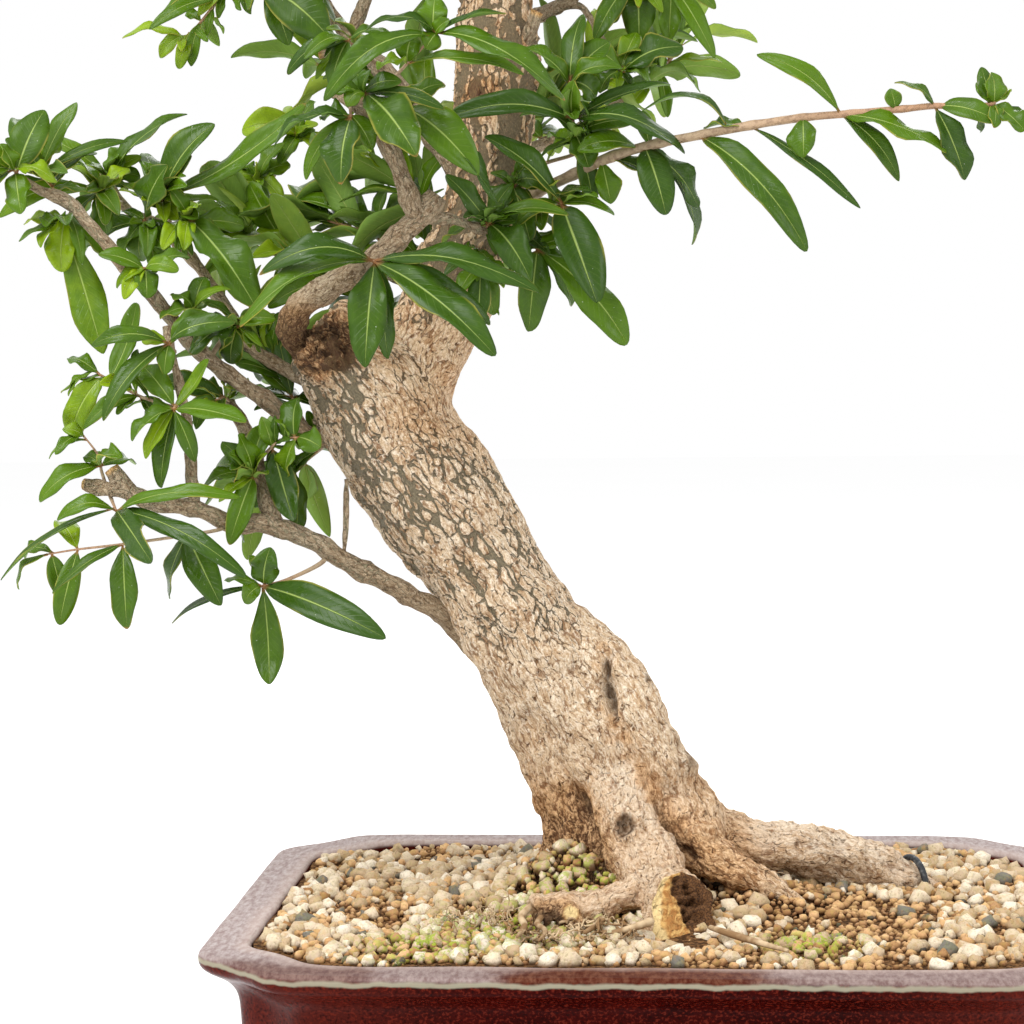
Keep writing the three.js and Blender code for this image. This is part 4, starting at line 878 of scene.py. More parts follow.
def bark_finish(name, skin_colour, cork_shade_and_highlight_colours, crack_and_shade_colour):
    """Bark: pitted, cracked cork over a smooth olive skin, with painted shade and highlight on its relief and
    in its hollows, dirt in the folds, sawn and rotten faces.
    """
    material, shader, place = finish(name, Roughness=0.88, Specular_IOR_Level=0.25)
    grain, young = carried(shader, "face_grain", "Vector"), carried(shader, "young")
    forms, shades = bark_forms(grain, young)
    fibres, pits, domed, cork = forms
    blotches = noise(place, 48.0, 4.0, 0.6)
    specks = noise(stretched(grain, 1, 1, 0.6), 1500.0, 4.0, 0.75)
    # The cork's own tones, with painted shade in its low fibres and pits and a painted highlight on its raised
    # pits; the cracks between the flakes are dark of themselves.
    corky = layered(
        shaded(blotches, 0.38, 0.62, *cork_shade_and_highlight_colours[:2]),
        (shades, 0.5, 0.25, 0.0, 0.5, cork_shade_and_highlight_colours[2]),
        (fibres, 0.44, 0.30, 0.0, 0.7, cork_shade_and_highlight_colours[2]),
        (domed, 0.38, 0.22, 0.0, 0.7, crack_and_shade_colour),
        (pits, 0.42, 0.34, 0.0, 0.7, crack_and_shade_colour),
        (pits, 0.49, 0.60, 0.0, 0.85, cork_shade_and_highlight_colours[3]),
        (specks, 0.36, 0.6, 0.6, 0.0, (0.42, 0.26, 0.13), "MULTIPLY"),
    )
    mottled = shaded(specks, 0.4, 0.62, skin_colour, [1.7 * part for part in skin_colour])
    mottled = layered(mottled, (specks, 0.58, 0.68, 0.0, 0.7, cork_shade_and_highlight_colours[2]))
    colour = mix(cork, shaded(young, 0.02, 0.2, crack_and_shade_colour, mottled), corky)
    colour = mix(carried(shader, "pale") * ease(pits, 0.36, 0.5, 0.1, 0.85), colour, (0.78, 0.66, 0.53))
    dirt = carried(shader, "dirt") + (blotches - 0.5) * 0.5
    colour = layered(colour, (dirt, 0.0, 0.7, 0.0, 1.0, (1.0, 0.76, 0.52), "MULTIPLY"))
    colour = mix(ease(dirt, 0.2, 1.0) * ease(pits, 0.38, 0.58, 1.1, 0.2), colour, (0.10, 0.045, 0.02))
    # Painted shade in the carved hollows and the cleft, with the dark snags, knot, callus and broken wood.
    colour = mix(carried(shader, "dark"), colour, (0.058, 0.028, 0.012))
    # Sawn wood: golden brown with rings and a pale rim, rotten and nearly black towards one side.
    rings = noise(stretched(place, 1, 0.3, 1), 260.0, 4.0, 0.6, 1.5)
    wood = layered(
        shaded(rings, 0.38, 0.62, (0.78, 0.48, 0.17), (0.46, 0.21, 0.06)),
        (carried(shader, "rim"), 0.2, 1.0, 0.0, 1.0, (0.90, 0.67, 0.32)),
    )
    rotten = shaded(specks, 0.4, 0.6, (0.05, 0.022, 0.01), (0.19, 0.085, 0.03))
    wood = shaded(carried(shader, "rot") + blotches * 0.5, 0.6, 0.85, wood, rotten)
    colour = mix(carried(shader, "cut"), colour, wood)
    colour_with(shader, colour, 0.92 - (1.0 - cork) * 0.3, bark_height(*forms) + specks * 0.3, 0.003)
    return material


def planed(piece, spot, reach, facing, hollow=0.0):
    """Cuts a piece's end flat at a spot, and eats a hollow into it; says how far each corner has moved."""
    places = places_of(piece)
    ahead = (places - spot) @ facing
    beside = np.linalg.norm(places - spot - ahead[:, None] * facing, axis=1)
    on_face = (ahead > -1.0) & (ahead < 0.8 * reach) & (beside < reach)
    inside_rim = step_between(-beside, -0.65 * reach, -0.4 * reach)
    moved = on_face * (np.maximum(ahead, 0) + np.maximum(hollow, 0) * inside_rim)
    reshaped(piece, places - moved[:, None] * facing)
    return moved


def grown_together():
    """The trunk's stems as one rough skin, rounded off where they join, with knotty swellings and hollows."""
    bole_parts = [stem(rows, 4, BOLE_SIDES, bole_swell) for rows in (BOLE, LEADER)]
    root_parts = [stem(rows, 4, ROOT_SIDES, root_swell) for rows in (BUTTRESS, *ROOTS.values())]
    trunk, stations = joined_stems("trunk_wood", bole_parts + root_parts)
    remeshed(trunk, ROUGH_FACES)
    high = np.flatnonzero(places_of(trunk)[:, 2] > JOINS_ABOVE)
    trunk.vertex_groups.new(name="joins").add([int(corner) for corner in high], 1.0, "REPLACE")
    smoothed(trunk, 14, "joins")
    smoothed(trunk, 3)
    trunk.vertex_groups.clear()
    places, normals = places_of(trunk), normals_of(trunk)
    lift = 1.3 * wander(places, 46, 11) + 0.7 * wander(places, 17, 12) + 0.6
    lift += 2.0 * lump_at(places, *LEADER_SCAR) + 1.5 * lump_at(places, *CALLUS, 4)
    for line, depth, width in HOLLOWS:
        lift -= depth * ridge(places, line, width) * below(places, line)
    reshaped(trunk, places + lift[:, None] * normals)
    return trunk, stations


def carve(trunk):
    """The knot, cleft, creases, snags and broken wood. The mesh carries how deep each corner was cut."""
    remeshed(trunk, FINE_FACES)
    smoothed(trunk, 1)
    places, normals = places_of(trunk), normals_of(trunk)
    away = from_knot(places)
    lift = 1.8 * np.exp(-(((away - 1.1 * KNOT[1]) / 1.8) ** 2))
    lift -= 3.2 * np.exp(-((away / (0.75 * KNOT[1])) ** 4))
    in_front = step_between(-normals[:, 1], -0.1, 0.4)
    width = 1.2 + 0.9 * step_between(-places[:, 2], -208, -190) + 0.5 * wander(places, 6, 17)
    width *= 0.4 + 0.6 * step_between(places[:, 2], 176, 190)
    lift -= 7.5 * ridge(places * FLAT, CLEFT * FLAT, width) * in_front
    lift += 1.3 * ridge(places * FLAT, CLEFT_LIP * FLAT, 3.2) * in_front
    lift -= 3.0 * lump_at(places, LEADER_SCAR[0], 4)
    for fold in FOLDS:
        lift -= 4.5 * ridge(places * FLAT, fold * FLAT, 1.9) * below(places, fold) * in_front
    for spot, reach in SNAGS:
        lift += 1.5 * lump_at(places, spot, reach, 3) - 2.4 * lump_at(places, spot, 0.5 * reach)
    lift += 3.4 * wander(places * (1, 1, 0.7), 6, 13) * lump_at(places, *CALLUS, 4)
    lift += 2.2 * wander(places, 5, 15) * lump_at(places, *ARM_END, 4)
    lift += 0.9 * wander(places * (1, 1, 0.4), 7, 16) * step_between(-places[:, 2], -230, -130)
    carry(trunk, "carved", np.maximum(-lift, 0))
    reshaped(trunk, places + lift[:, None] * normals)
    smoothed(trunk, 1)


def saw(trunk):
    """Planes the sawn root and the small cut, and eats rot into the root; says where the small cut is."""
    places = places_of(trunk)
    x, z = places[:, 0], places[:, 2]
    rot = step_between(x + 0.35 * (z - 111) + 1.5 * wander(places, 8, 19), 9, 15)
    hollow = rot * (1.2 + 4 * wander(places, 5, 14)) + 0.3 + 0.5 * wander(places, 4, 24)
    moved = planed(trunk, *SAWN_ROOT, hollow)
    trimmed = planed(trunk, *SMALL_CUT)
    rim = step_between(0.015 * (z - 110) ** 2 + 1.2 * wander(places, 6, 28) - x, -3.6, -0.4)
    at_small_cut = step_between(trimmed, 0.02, 0.4) * lump_at(places_of(trunk), SMALL_CUT[0], 3.4, 8)
    carry(trunk, "cut", np.maximum(step_between(moved, 0.02, 0.5), at_small_cut))
    carry(trunk, "rim", np.maximum(rim * (moved > 0), at_small_cut))
    carry(trunk, "rot", rot * (moved > 0))
    return at_small_cut


def stain(trunk, stations, at_small_cut):
    """Carries how young, dirty, dark and pale the bark is at each corner; the dark is partly painted shade, the
    pale partly painted light.
    """
    places = places_of(trunk)
    owner = carry_grain(trunk, stations)
    x, _, z = places.T
    # How far up the bole the smooth young skin reaches; less on the inner side of the saddle.
    leader = step_between(depth_in(places, stations, "leader") - depth_in(places, stations, "bole"), -2, 4)
    saddle = step_between(x + 0.5 * (z - 300), -128, -100) * step_between(z, 270, 312)
    on_bole = (0.5 * step_between(z, 190, 262) + 0.4 * step_between(z, 262, 318)) * (1 - 0.8 * saddle)
    on_bole *= 0.8 + 0.5 * step_between(-(x + 0.62 * (z - 200)), 20, 75)
    on_leader = 0.04 + 1.4 * step_between(z, 345, 395)
    young = np.where(np.isin(owner, (0, 1)), on_bole + (on_leader - on_bole) * leader, 0)
    carry(trunk, "young", np.clip(young, 0, 1.6))
    # Dirt in the folds, round the callus, at the broken arm, low on the bole and in the saddle.
    ragged = 2.2 * wander(places, 9, 25)
    folds = sum(ridge(places, fold, 7.0, ragged) * below(places, fold) for fold in FOLDS)
    callus = lump_at(places, *CALLUS, 5) + 0.6 * lump_at(places, *LEADER_SCAR, 4)
    arm_end = 0.9 * lump_at(places, *ARM_END, 4) * (1 - at_small_cut)
    in_front = step_between(depth_in(places, stations, "front", "front_left_arm", "toe"), -14, 2)
    low = 0.32 * step_between(-z, -145, -108) + 0.3 * step_between(-z, -200, -130)
    low = low * (1 - 0.5 * in_front) * (1 - 0.7 * step_between(x, 25, 60)) + 0.7 * lump_at(places, *DIRTY_FOOT)
    brown = 0.3 * np.maximum(leader * step_between(-z, -390, -340), saddle) * step_between(z, 250, 300)
    valley = 0.42 * ridge(places, VALLEY, 5.0, ragged)
    carry(trunk, "dirt", np.clip(0.55 * folds + valley + callus + low + arm_end + brown, 0, 1))
    # Painted shade in the deeply carved hollows, and the dark snags, knot, callus and broken wood.
    dark = 0.8 * step_between(read_from(trunk.data.attributes["carved"].data, "value"), 1.8, 4.4)
    dark += sum(0.7 * lump_at(places, spot, 0.8 * reach) for spot, reach in SNAGS)
    away = from_knot(places)
    dark += 0.9 * np.exp(-(((away - 0.85 * KNOT[1]) / 1.1) ** 2)) + 0.35 * (away < KNOT[1])
    broken = 1.5 * lump_at(places, *ARM_END, 4) * step_between(-z, -111, -106) * (1 - at_small_cut)
    dark += (lump_at(places, CALLUS[0], CALLUS[1] + 3, 4) + broken) * (0.5 + 0.5 * wander(places, 7, 18))
    carry(trunk, "dark", np.clip(dark, 0, 1) * 0.93)
    # The roots are paler on their upper sides: partly worn bark, partly painted light from above.
    top_lit = step_between(normals_of(trunk)[:, 2], -0.3, 0.6)
    long_root = step_between(depth_in(places, stations, "right"), -6, 1) * step_between(x, 20, 45)
    carry(trunk, "pale", np.maximum(0.6 * in_front, 0.8 * long_root) * top_lit * 0.8)


def make_trunk(material):
    trunk, stations = grown_together()
    carve(trunk)
    stain(trunk, stations, saw(trunk))
    return made_by(relief_tree(), trunk, {"Depth": BARK_DEPTH, "Material": material})


bark = bark_finish(
    "bark", (0.128, 0.105, 0.066),
    [(0.76, 0.61, 0.43), (0.67, 0.51, 0.34), (0.47, 0.28, 0.13), (0.92, 0.81, 0.65)], (0.23, 0.115, 0.048),
)
trunk = make_trunk(bark)
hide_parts("trunk")
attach(trunk, "root")


# Branches: thin woody limbs and pruning stubs that have grown out of the bole and the leader. Grey-tan bark
# with dark lengthwise flecks, thickened at each old leaf node; where they were pruned the pale wood shows.

# Each branch's radius at its foot and its tip, and the points that its middle runs through, in millimetres.
LIMBS = {
    "low_branch": (4.8, 3.2, [(-76, 22, 204), (-89, 22, 214), (-98, 14, 225), (-115, 4, 236), (-138, -8, 251),
        (-156, -16, 262), (-171, -22, 268), (-183, -24, 268), (-197, -28, 274), (-212, -32, 277),
        (-224, -36, 281), (-234, -38, 284)]),
    "low_branch_knot": (3.2, 2.6, [(-231, -38, 283), (-247, -30, 286)]),
    "low_branch_stub": (3.8, 3.3, [(-224, -36, 279), (-233, -38, 293)]),
    "low_riser": (4, 2.4, [(-166, -21, 268), (-173, -12, 286), (-182, -2, 308), (-189, 4, 320)]),
    "low_sprig": (2.6, 1.7, [(-199, -28, 274), (-200, -30, 289), (-201, -32, 310), (-204, -32, 326),
        (-207, -30, 338), (-210, -28, 353)]),
    "dead_twig": (1.5, 1, [(-138, -8, 251), (-137, -6, 272), (-137, -4, 286)]),
    "left_branch": (4.4, 2, [(-136, 19, 296), (-147, 20, 302), (-157, 10, 306), (-176, -4, 323),
        (-198, -14, 342), (-216, -20, 364), (-227, -24, 378), (-240, -26, 393), (-251, -26, 405),
        (-262, -26, 411), (-271, -28, 416)]),
    "left_stub": (3, 2.2, [(-146, 16, 326), (-161, 20, 331), (-182, 26, 343), (-190, 30, 354),
        (-208, 38, 379), (-218, 40, 390), (-225, 42, 399), (-241, 42, 407), (-255, 42, 423),
        (-266, 42, 436)]),
    "front_branch": (6.5, 4.4, [(-149, 8, 340), (-160, -4, 350), (-154, -18, 361), (-140, -26, 369),
        (-124, -32, 377), (-111, -34, 388), (-99, -34, 398), (-92, -34, 407)]),
    "front_riser": (4.2, 2.2, [(-101, -34, 396), (-106, -38, 413), (-112, -42, 427), (-120, -44, 439),
        (-127, -44, 445), (-136, -42, 450)]),
    "front_cross_twig": (2.7, 2, [(-99, -33, 398), (-86, -22, 397), (-73, -6, 392)]),
    "upper_left": (5.4, 2.2, [(-82, 30, 412), (-98, 34, 434), (-118, 40, 462), (-130, 46, 475),
        (-142, 50, 487), (-152, 54, 500), (-163, 56, 516), (-179, 58, 526)]),
    "upper_left_fork": (3.1, 1.9, [(-140, 50, 484), (-131, 50, 504), (-123, 48, 523)]),
    "upper_left_stub": (1.8, 1.5, [(-134, 47, 479), (-153, 44, 476)]),
    "upper_right": (3.6, 1.9, [(-70, 28, 474), (-57, 40, 489), (-44, 56, 498), (-26, 56, 509), (-8, 48, 513),
        (9, 42, 515)]),
    "drooping_twig": (2, 1.4, [(-46, 54, 497), (-34, 50, 496), (-24, 30, 478), (-18, 14, 465)]),
    "sawn_stub": (3.2, 3, [(-68, 26, 474), (-57, 17, 479), (-52, 13, 489)]),
    "back_left": (4.2, 1.9, [(-96, 30, 356), (-104, 54, 370), (-141, 78, 384), (-176, 90, 397),
        (-185, 98, 412), (-187, 105, 426), (-178, 112, 442)]),
    "back_right": (3.8, 1.9, [(-80, 34, 418), (-62, 62, 432), (-36, 86, 446), (-14, 102, 460)]),
    "crown_left": (5, 2, [(-72, 29, 508), (-108, 18, 534), (-146, 8, 548), (-176, 2, 556)]),
    "crown_right": (5, 2, [(-72, 29, 518), (-34, 16, 542), (2, 6, 556), (34, -2, 562)]),
    "crown_front": (4.2, 1.8, [(-74, 28, 543), (-72, -4, 566), (-70, -36, 578)]),
    "crown_back": (4.6, 1.8, [(-74, 27, 530), (-78, 62, 554), (-82, 94, 566)]),
}
# Branches that end in a saw cut.
SAWN = ("low_branch_stub", "sawn_stub", "upper_left_stub", "low_branch_knot")
NODE_PITCH = 21
# Leaf scars along a branch: how far apart, and how long the swelling at each is.
NODE_PITCH = 21
NODE_LENGTH = 2.6


def limb_swell(angles, place):
    """Knots where leaves have grown, and a slightly angular section."""
    node = math.exp(-(((place % NODE_PITCH) - NODE_PITCH / 2) / NODE_LENGTH) ** 2)
    return 1 + 0.17 * node + 0.07 * np.sin(3 * angles + place / 9) + 0.04 * np.sin(5 * angles - place / 5)


def thinning(route, foot, tip):
    """A route with a radius that goes evenly from foot to tip."""
    return np.column_stack([route, np.linspace(foot, tip, len(route))])


def make_branches(material):
    parts = [stem(thinning(route, foot, tip), 2.2, 12, limb_swell) for foot, tip, route in LIMBS.values()]
    branches, stations = joined_stems("branches", parts)
    places = places_of(branches)
    lift = 0.32 * wander(places, 8, 21) + 0.35 * wander(places, 19, 22)
    reshaped(branches, places + lift[:, None] * normals_of(branches))
    owner = carry_grain(branches, stations, 1.6)
    cut = np.zeros(len(places))
    for number, name in enumerate(LIMBS):
        if name in SAWN:
            end = stations[stations[:, STEM] == number][-1]
            ahead = ((places - end[PLACE]) * end[ALONG]).sum(1)
            cut[(owner == number) & (ahead > -0.4)] = 1
    carry(branches, "cut", cut)
    carry(branches, "young", 0.2 + 0.12 * wander(places, 60, 23))
    carry(branches, "dirt", np.clip(0.9 * lump_at(places, CALLUS[0], 22, 4) + 0.12, 0, 1))
    carry(branches, "dark", 0.45 * lump_at(places, CALLUS[0], 20, 4))
    for name in ("rim", "rot", "pale"):
        carry(branches, name, np.zeros(len(places)))
    branches.data.materials.append(material)
    return branches


twig_bark = bark_finish(
    "branch_bark", (0.24, 0.21, 0.13),
    [(0.50, 0.41, 0.28), (0.40, 0.31, 0.20), (0.27, 0.185, 0.105), (0.62, 0.52, 0.38)], (0.12, 0.07, 0.035),
)
branches = make_branches(twig_bark)
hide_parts("trunk")
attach(branches, "root")


# Tie wire: a short arc of black plastic-coated wire pushed into the soil over the end of the long right root,
# to hold the root down. Its coating is matt and faintly ribbed.

WIRE_CENTRE = (113, 41.5, 98)
WIRE_LOOP_RADIUS = 11.5
WIRE_RADIUS = 1.5
# In radians: how far the loop is turned on its own axis, and how far past a half turn it runs at each end.
WIRE_TURN = 0.45
WIRE_DIP = 0.35
WIRE_RIB = 1.1


def ribbed(angles, place):
    """Faint ribs round the wire."""
    return 1 + 0.03 * math.sin(math.tau * place / WIRE_RIB)


def make_wire(material):
    angles = np.linspace(-WIRE_DIP, math.pi + WIRE_DIP, 70)
    across, rise = WIRE_LOOP_RADIUS * np.cos(angles), WIRE_LOOP_RADIUS * np.sin(angles)
    middle = np.column_stack([math.sin(WIRE_TURN) * across, -math.cos(WIRE_TURN) * across, rise]) + WIRE_CENTRE
    rings, _ = stem(thinning(middle, WIRE_RADIUS, WIRE_RADIUS), 0.35, 16, ribbed)
    return mesh_piece("tie_wire_coated", in_place(closed(rings)), skin(rings), material)


wire_finish, wire_shader, wire_place = finish("black_coating", Roughness=0.55, Specular_IOR_Level=0.4)
wire_dust = noise(wire_place, 700.0, 4.0)
wire_colour = shaded(wire_dust, 0.45, 0.75, (0.012, 0.014, 0.018), (0.10, 0.10, 0.10))
colour_with(wire_shader, wire_colour, None, wire_dust, 0.0002, 0.5)
wire = make_wire(wire_finish)
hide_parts("tie_wire")
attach(wire, "root")


# Leafy shoots: young twigs and short spurs with lance-shaped leaves, one piece for each shoot. A leaf is a
# thin glossy blade folded a little along its pale midrib, on a short reddish stalk, paler and matt below.

# One row for each shoot: name, the points its twig runs through, the twig's radius, its leaves and its
# smallest leaves. A leaf is (place along the twig 0..1, heading, lean, length, width, bow). The heading is in
# degrees in the XZ plane, 0 to the right and 90 up. The lean turns it to the front. The bow is the arch of its
# midrib.
SHOOTS = [
    ("long_shoot", [(-70, 26, 404), (-57, 18, 409), (-43, 8, 415), (-23, -2, 423), (-5, -8, 428),
        (14, -16, 431), (35, -22, 434), (60, -28, 437), (80, -32, 438), (101, -36, 439), (115, -38, 440),
        (128, -40, 439), (139, -42, 440)], 2.8, [
        (0.25, -78, 5, 19, 13, 2), (0.26, -26, -5, 29, 12, 4), (0.33, 180, 10, 27, 12, 4),
        (0.34, -72, 20, 32, 17, 3), (0.34, -48, -8, 36, 14, 4), (0.35, -58, -22, 60, 11, 5),
        (0.35, 102, -10, 16, 8, 2), (0.45, -44, 22, 69, 15, 6), (0.51, 160, 5, 37, 9, 10),
        (0.55, -38, 12, 59, 7, 3), (0.54, 178, -25, 19, 9, 2), (0.65, -90, 20, 18, 15, 2),
        (0.72, 144, 5, 43, 9, 9), (0.72, -18, 20, 47, 12, 3), (0.72, -46, 0, 37, 10, 4),
        (0.82, 104, 10, 9, 8, 1), (0.89, 146, 5, 19, 6, 4), (0.89, -66, 8, 33, 14, 3),
        (0.9, -18, 22, 25, 11, 3), (0.95, -24, 15, 33, 12, 4), (0.95, -56, -10, 12, 9, 2),
        (1, 94, 5, 13, 12, 2), (1, 44, 15, 13, 8, 2)
    ], [
        (1, -98, 30, 13, 7, 2), (1, -46, 30, 19, 10, 1), (1, 124, 0, 11, 6, 1), (1, 102, -10, 16, 8, 2)
    ]),
    ("low_branch_tip", [(-234, -36, 280), (-230, -44, 275)], 1.3, [
        (1, 8, 12, 56, 8, 7), (1, -20, 25, 70, 10, 6), (1, -36, 42, 53, 14, 2), (1, -150, 10, 57, 7, 5),
        (1, -176, 20, 25, 9, 7)
    ], []),
    ("low_branch_twig", [(-188, -27, 266), (-202, -38, 264), (-227, -46, 261), (-246, -47, 259),
        (-259, -47, 257)], 1, [
        (0.22, -58, 30, 36, 16, 2), (0.22, -114, -15, 32, 13, 2), (0.58, -86, 10, 36, 14, 2),
        (0.58, -146, 25, 36, 7, 4), (0.83, -104, 8, 33, 12, 2), (0.83, 134, 0, 22, 12, 3),
        (1, -82, -20, 21, 10, 2), (1, -176, 8, 21, 7, 4), (1, -148, 25, 22, 5, 5)
    ], []),
    ("low_branch_under", [(-147, -14, 250), (-160, -30, 244), (-170, -36, 242)], 1.4, [
        (1, -18, 28, 68, 17, 6), (1, -86, 10, 42, 16, -4), (1, 78, 20, 18, 15, 2), (1, 124, 5, 17, 6, 2),
        (1, 172, -12, 20, 6, 3), (1, -158, -20, 50, 6, 5)
    ], [
        (1, -138, 22, 10, 9, 2)
    ]),
    ("low_stub_sprout", [(-237, -34, 286), (-239, -32, 292), (-240, -32, 298), (-246, -34, 307)], 1, [
        (0.35, -150, 15, 30, 11, 6), (0.35, 28, 22, 20, 11, 3), (0.35, 8, 0, 18, 10, 3),
        (1, -158, 10, 18, 5, 4), (1, -142, 25, 16, 6, 3)
    ], [
        (0.35, 148, -12, 9, 9, 2), (1, 156, -15, 10, 8, 2)
    ]),
    ("low_sprig_foot", [(-204, -32, 322), (-205, -42, 318)], 1.3, [
        (1, -8, 28, 39, 13, 3), (1, -144, 30, 23, 10, 3), (1, -120, 22, 25, 9, 2), (1, -102, 5, 35, 12, 2),
        (1, -84, 12, 24, 9, 2), (1, -154, -22, 21, 12, 3), (1, 58, 5, 25, 8, -3), (1, 130, -16, 25, 13, 2)
    ], []),
    ("low_sprig_side", [(-206, -28, 318), (-222, -27, 323), (-235, -26, 330), (-244, -26, 335)], 1, [
        (0.42, -152, 18, 28, 8, 4), (0.78, 72, 0, 35, 11, -4), (0.86, -120, 5, 31, 14, 5),
        (0.42, -72, -25, 23, 14, 2)
    ], [
        (0.9, 156, -20, 18, 9, 4)
    ]),
    ("low_sprig_middle", [(-207, -29, 342), (-208, -37, 346)], 1.3, [
        (1, -180, 15, 32, 9, 8), (1, -132, 22, 43, 11, 4), (1, -94, 35, 14, 9, 1), (1, 38, -10, 22, 12, 4),
        (1, 18, 15, 32, 11, 5)
    ], [
        (1, 174, 5, 11, 8, 2)
    ]),
    ("left_branch_dark", [(-186, 4, 356), (-183, -8, 353)], 1.3, [
        (1, -166, 8, 28, 13, 6), (1, -152, 32, 28, 12, 3), (1, -134, -10, 23, 13, 2), (1, 10, 15, 18, 10, 3),
        (1, -48, -5, 15, 9, 2)
    ], [
        (1, -128, 12, 12, 8, 2), (1, -106, -25, 19, 13, 2)
    ]),
    ("low_riser_top", [(-189, 6, 319), (-190, -4, 322), (-193, -12, 321)], 1, [
        (0.6, 164, 10, 30, 13, 4), (1, -126, 20, 17, 10, 3), (0.6, 36, -12, 20, 11, 2)
    ], [
        (0.6, 158, -25, 16, 10, 3)
    ]),
    ("low_riser_foot", [(-174, -14, 285), (-175, -22, 289)], 1.3, [
        (1, -174, 15, 22, 9, 3), (1, -108, 0, 32, 12, 2), (1, -92, -18, 36, 10, 2), (1, 126, 5, 21, 12, 3),
        (1, 100, 25, 23, 12, 2), (1, 172, -15, 25, 10, 4)
    ], [
        (1, 80, -8, 24, 12, 3)
    ]),
    ("low_riser_hanging", [(-169, -18, 299), (-163, -20, 304), (-155, -24, 305)], 1, [
        (0.15, -72, 8, 34, 15, -3), (0.15, 104, 15, 14, 9, 2)
    ], [
        (1, -18, 30, 13, 13, 1), (1, -110, -10, 19, 12, 2), (1, 88, -15, 18, 13, 3)
    ]),
    ("left_branch_end", [(-268, -24, 414), (-272, -30, 418)], 1.3, [
        (1, 148, 12, 21, 9, 5), (1, -10, 18, 21, 10, 4), (1, -74, 32, 22, 14, 1), (1, 70, -15, 31, 18, 3),
        (1, -138, 5, 35, 15, 4), (1, 104, 25, 14, 9, 2)
    ], [
        (1, -166, 30, 13, 8, 3)
    ]),
    ("left_branch_upper", [(-261, -10, 412), (-268, -12, 420)], 1.3, [
        (1, 62, 0, 35, 11, 2), (1, 26, 8, 40, 6, 4), (1, 8, 25, 25, 8, 2), (0.6, 36, -20, 26, 9, 3),
        (1, 118, -22, 37, 17, 3)
    ], [
        (1, 68, -25, 19, 10, 2)
    ]),
    ("left_stub_long", [(-246, 34, 411), (-248, 22, 414), (-247, 10, 414)], 1.3, [
        (1, -166, 22, 46, 11, 9), (1, -128, 28, 31, 10, 3), (1, -82, 5, 19, 12, 2), (1, 142, 0, 22, 10, 3)
    ], [
        (0.6, 46, -15, 16, 10, 3)
    ]),
    ("left_branch_hanging", [(-253, -18, 403), (-256, -22, 399)], 1.3, [
        (1, -74, 6, 59, 19, -5), (1, 178, -8, 19, 12, 2), (1, -94, -15, 23, 14, 3), (0.6, -46, 0, 27, 11, 2),
        (1, -130, 30, 15, 12, 2)
    ], []),
    ("left_stub_fork", [(-249, 40, 418), (-247, 28, 421)], 1.3, [
        (1, 44, 0, 45, 11, 4), (1, 150, 10, 41, 10, 8), (1, -136, 20, 21, 9, 3)
    ], [
        (1, 4, -20, 14, 10, 2), (1, 64, -30, 17, 11, 2)
    ]),
    ("left_stub_middle", [(-228, 30, 399), (-228, 14, 401)], 1.3, [
        (1, 66, 35, 30, 20, 1), (1, -166, 25, 42, 14, 6), (1, -124, 20, 21, 12, 2), (1, -58, 5, 22, 9, 3)
    ], [
        (1, -102, -10, 19, 11, 3)
    ]),
    ("left_stub_upper", [(-221, 34, 401), (-222, 22, 408), (-220, 14, 411)], 1.3, [
        (1, 56, 8, 40, 18, 3), (1, 32, 12, 79, 13, -6), (0.6, -30, 10, 18, 9, 2), (1, 116, -28, 34, 12, 3),
        (0.6, 8, 20, 26, 6, 2)
    ], [
        (1, 4, 25, 12, 9, 1), (1, 156, 20, 6, 8, 1)
    ]),
    ("left_stub_foot", [(-215, 34, 395), (-207, 8, 401)], 1.3, [
        (1, -48, 26, 56, 21, 4), (1, -36, 0, 15, 10, 2), (1, -82, 30, 23, 9, 2), (0.6, 0, -20, 26, 12, 3),
        (1, 120, 10, 16, 8, 2)
    ], []),
    ("left_branch_middle", [(-221, -12, 370), (-219, -24, 373)], 1.3, [
        (1, -4, 22, 17, 9, 3), (1, -82, 25, 14, 12, 2), (1, 156, -10, 21, 10, 2), (1, 24, -15, 20, 9, 3)
    ], [
        (1, -146, 0, 15, 9, 3), (1, -122, 20, 17, 8, 3)
    ]),
    ("left_branch_inner", [(-202, -2, 353), (-200, -20, 360)], 1.3, [
        (1, 24, 15, 19, 9, 3), (1, -2, 30, 14, 11, 2), (1, -168, 20, 16, 10, 4)
    ], [
        (1, 140, 10, 12, 9, 3), (1, 78, -20, 18, 11, 3)
    ]),
    ("back_left_foot", [(-182, 92, 404), (-190, 96, 407), (-196, 98, 408)], 1, [
        (1, -154, 8, 21, 11, 3), (0.5, -128, 0, 26, 9, 3)
    ], [
        (1, -112, -10, 14, 10, 2), (1, 136, -22, 19, 11, 3)
    ]),
    ("back_left_middle", [(-186, 104, 417), (-188, 102, 421)], 1.3, [
        (1, -160, 10, 25, 14, 3), (1, -38, 5, 22, 10, 3), (1, -76, 22, 31, 14, 2), (1, 56, 20, 22, 10, 3)
    ], [
        (1, -172, -10, 16, 8, 3), (1, 144, 0, 9, 9, 2), (1, 24, -12, 17, 11, 3)
    ]),
    ("back_left_top", [(-179, 112, 439), (-177, 112, 443)], 1.3, [
        (1, 172, 8, 27, 18, 5), (1, -132, 20, 21, 9, 2), (1, -24, 5, 23, 12, 3), (1, 112, -25, 21, 11, 3)
    ], [
        (1, 62, -12, 18, 12, 3)
    ]),
    ("front_branch_hand", [(-115, -30, 382), (-119, -42, 379)], 1.3, [
        (1, -176, 18, 48, 13, 12), (1, -158, 22, 63, 13, 8), (1, -94, 22, 46, 19, 3), (1, -84, -5, 42, 14, 2),
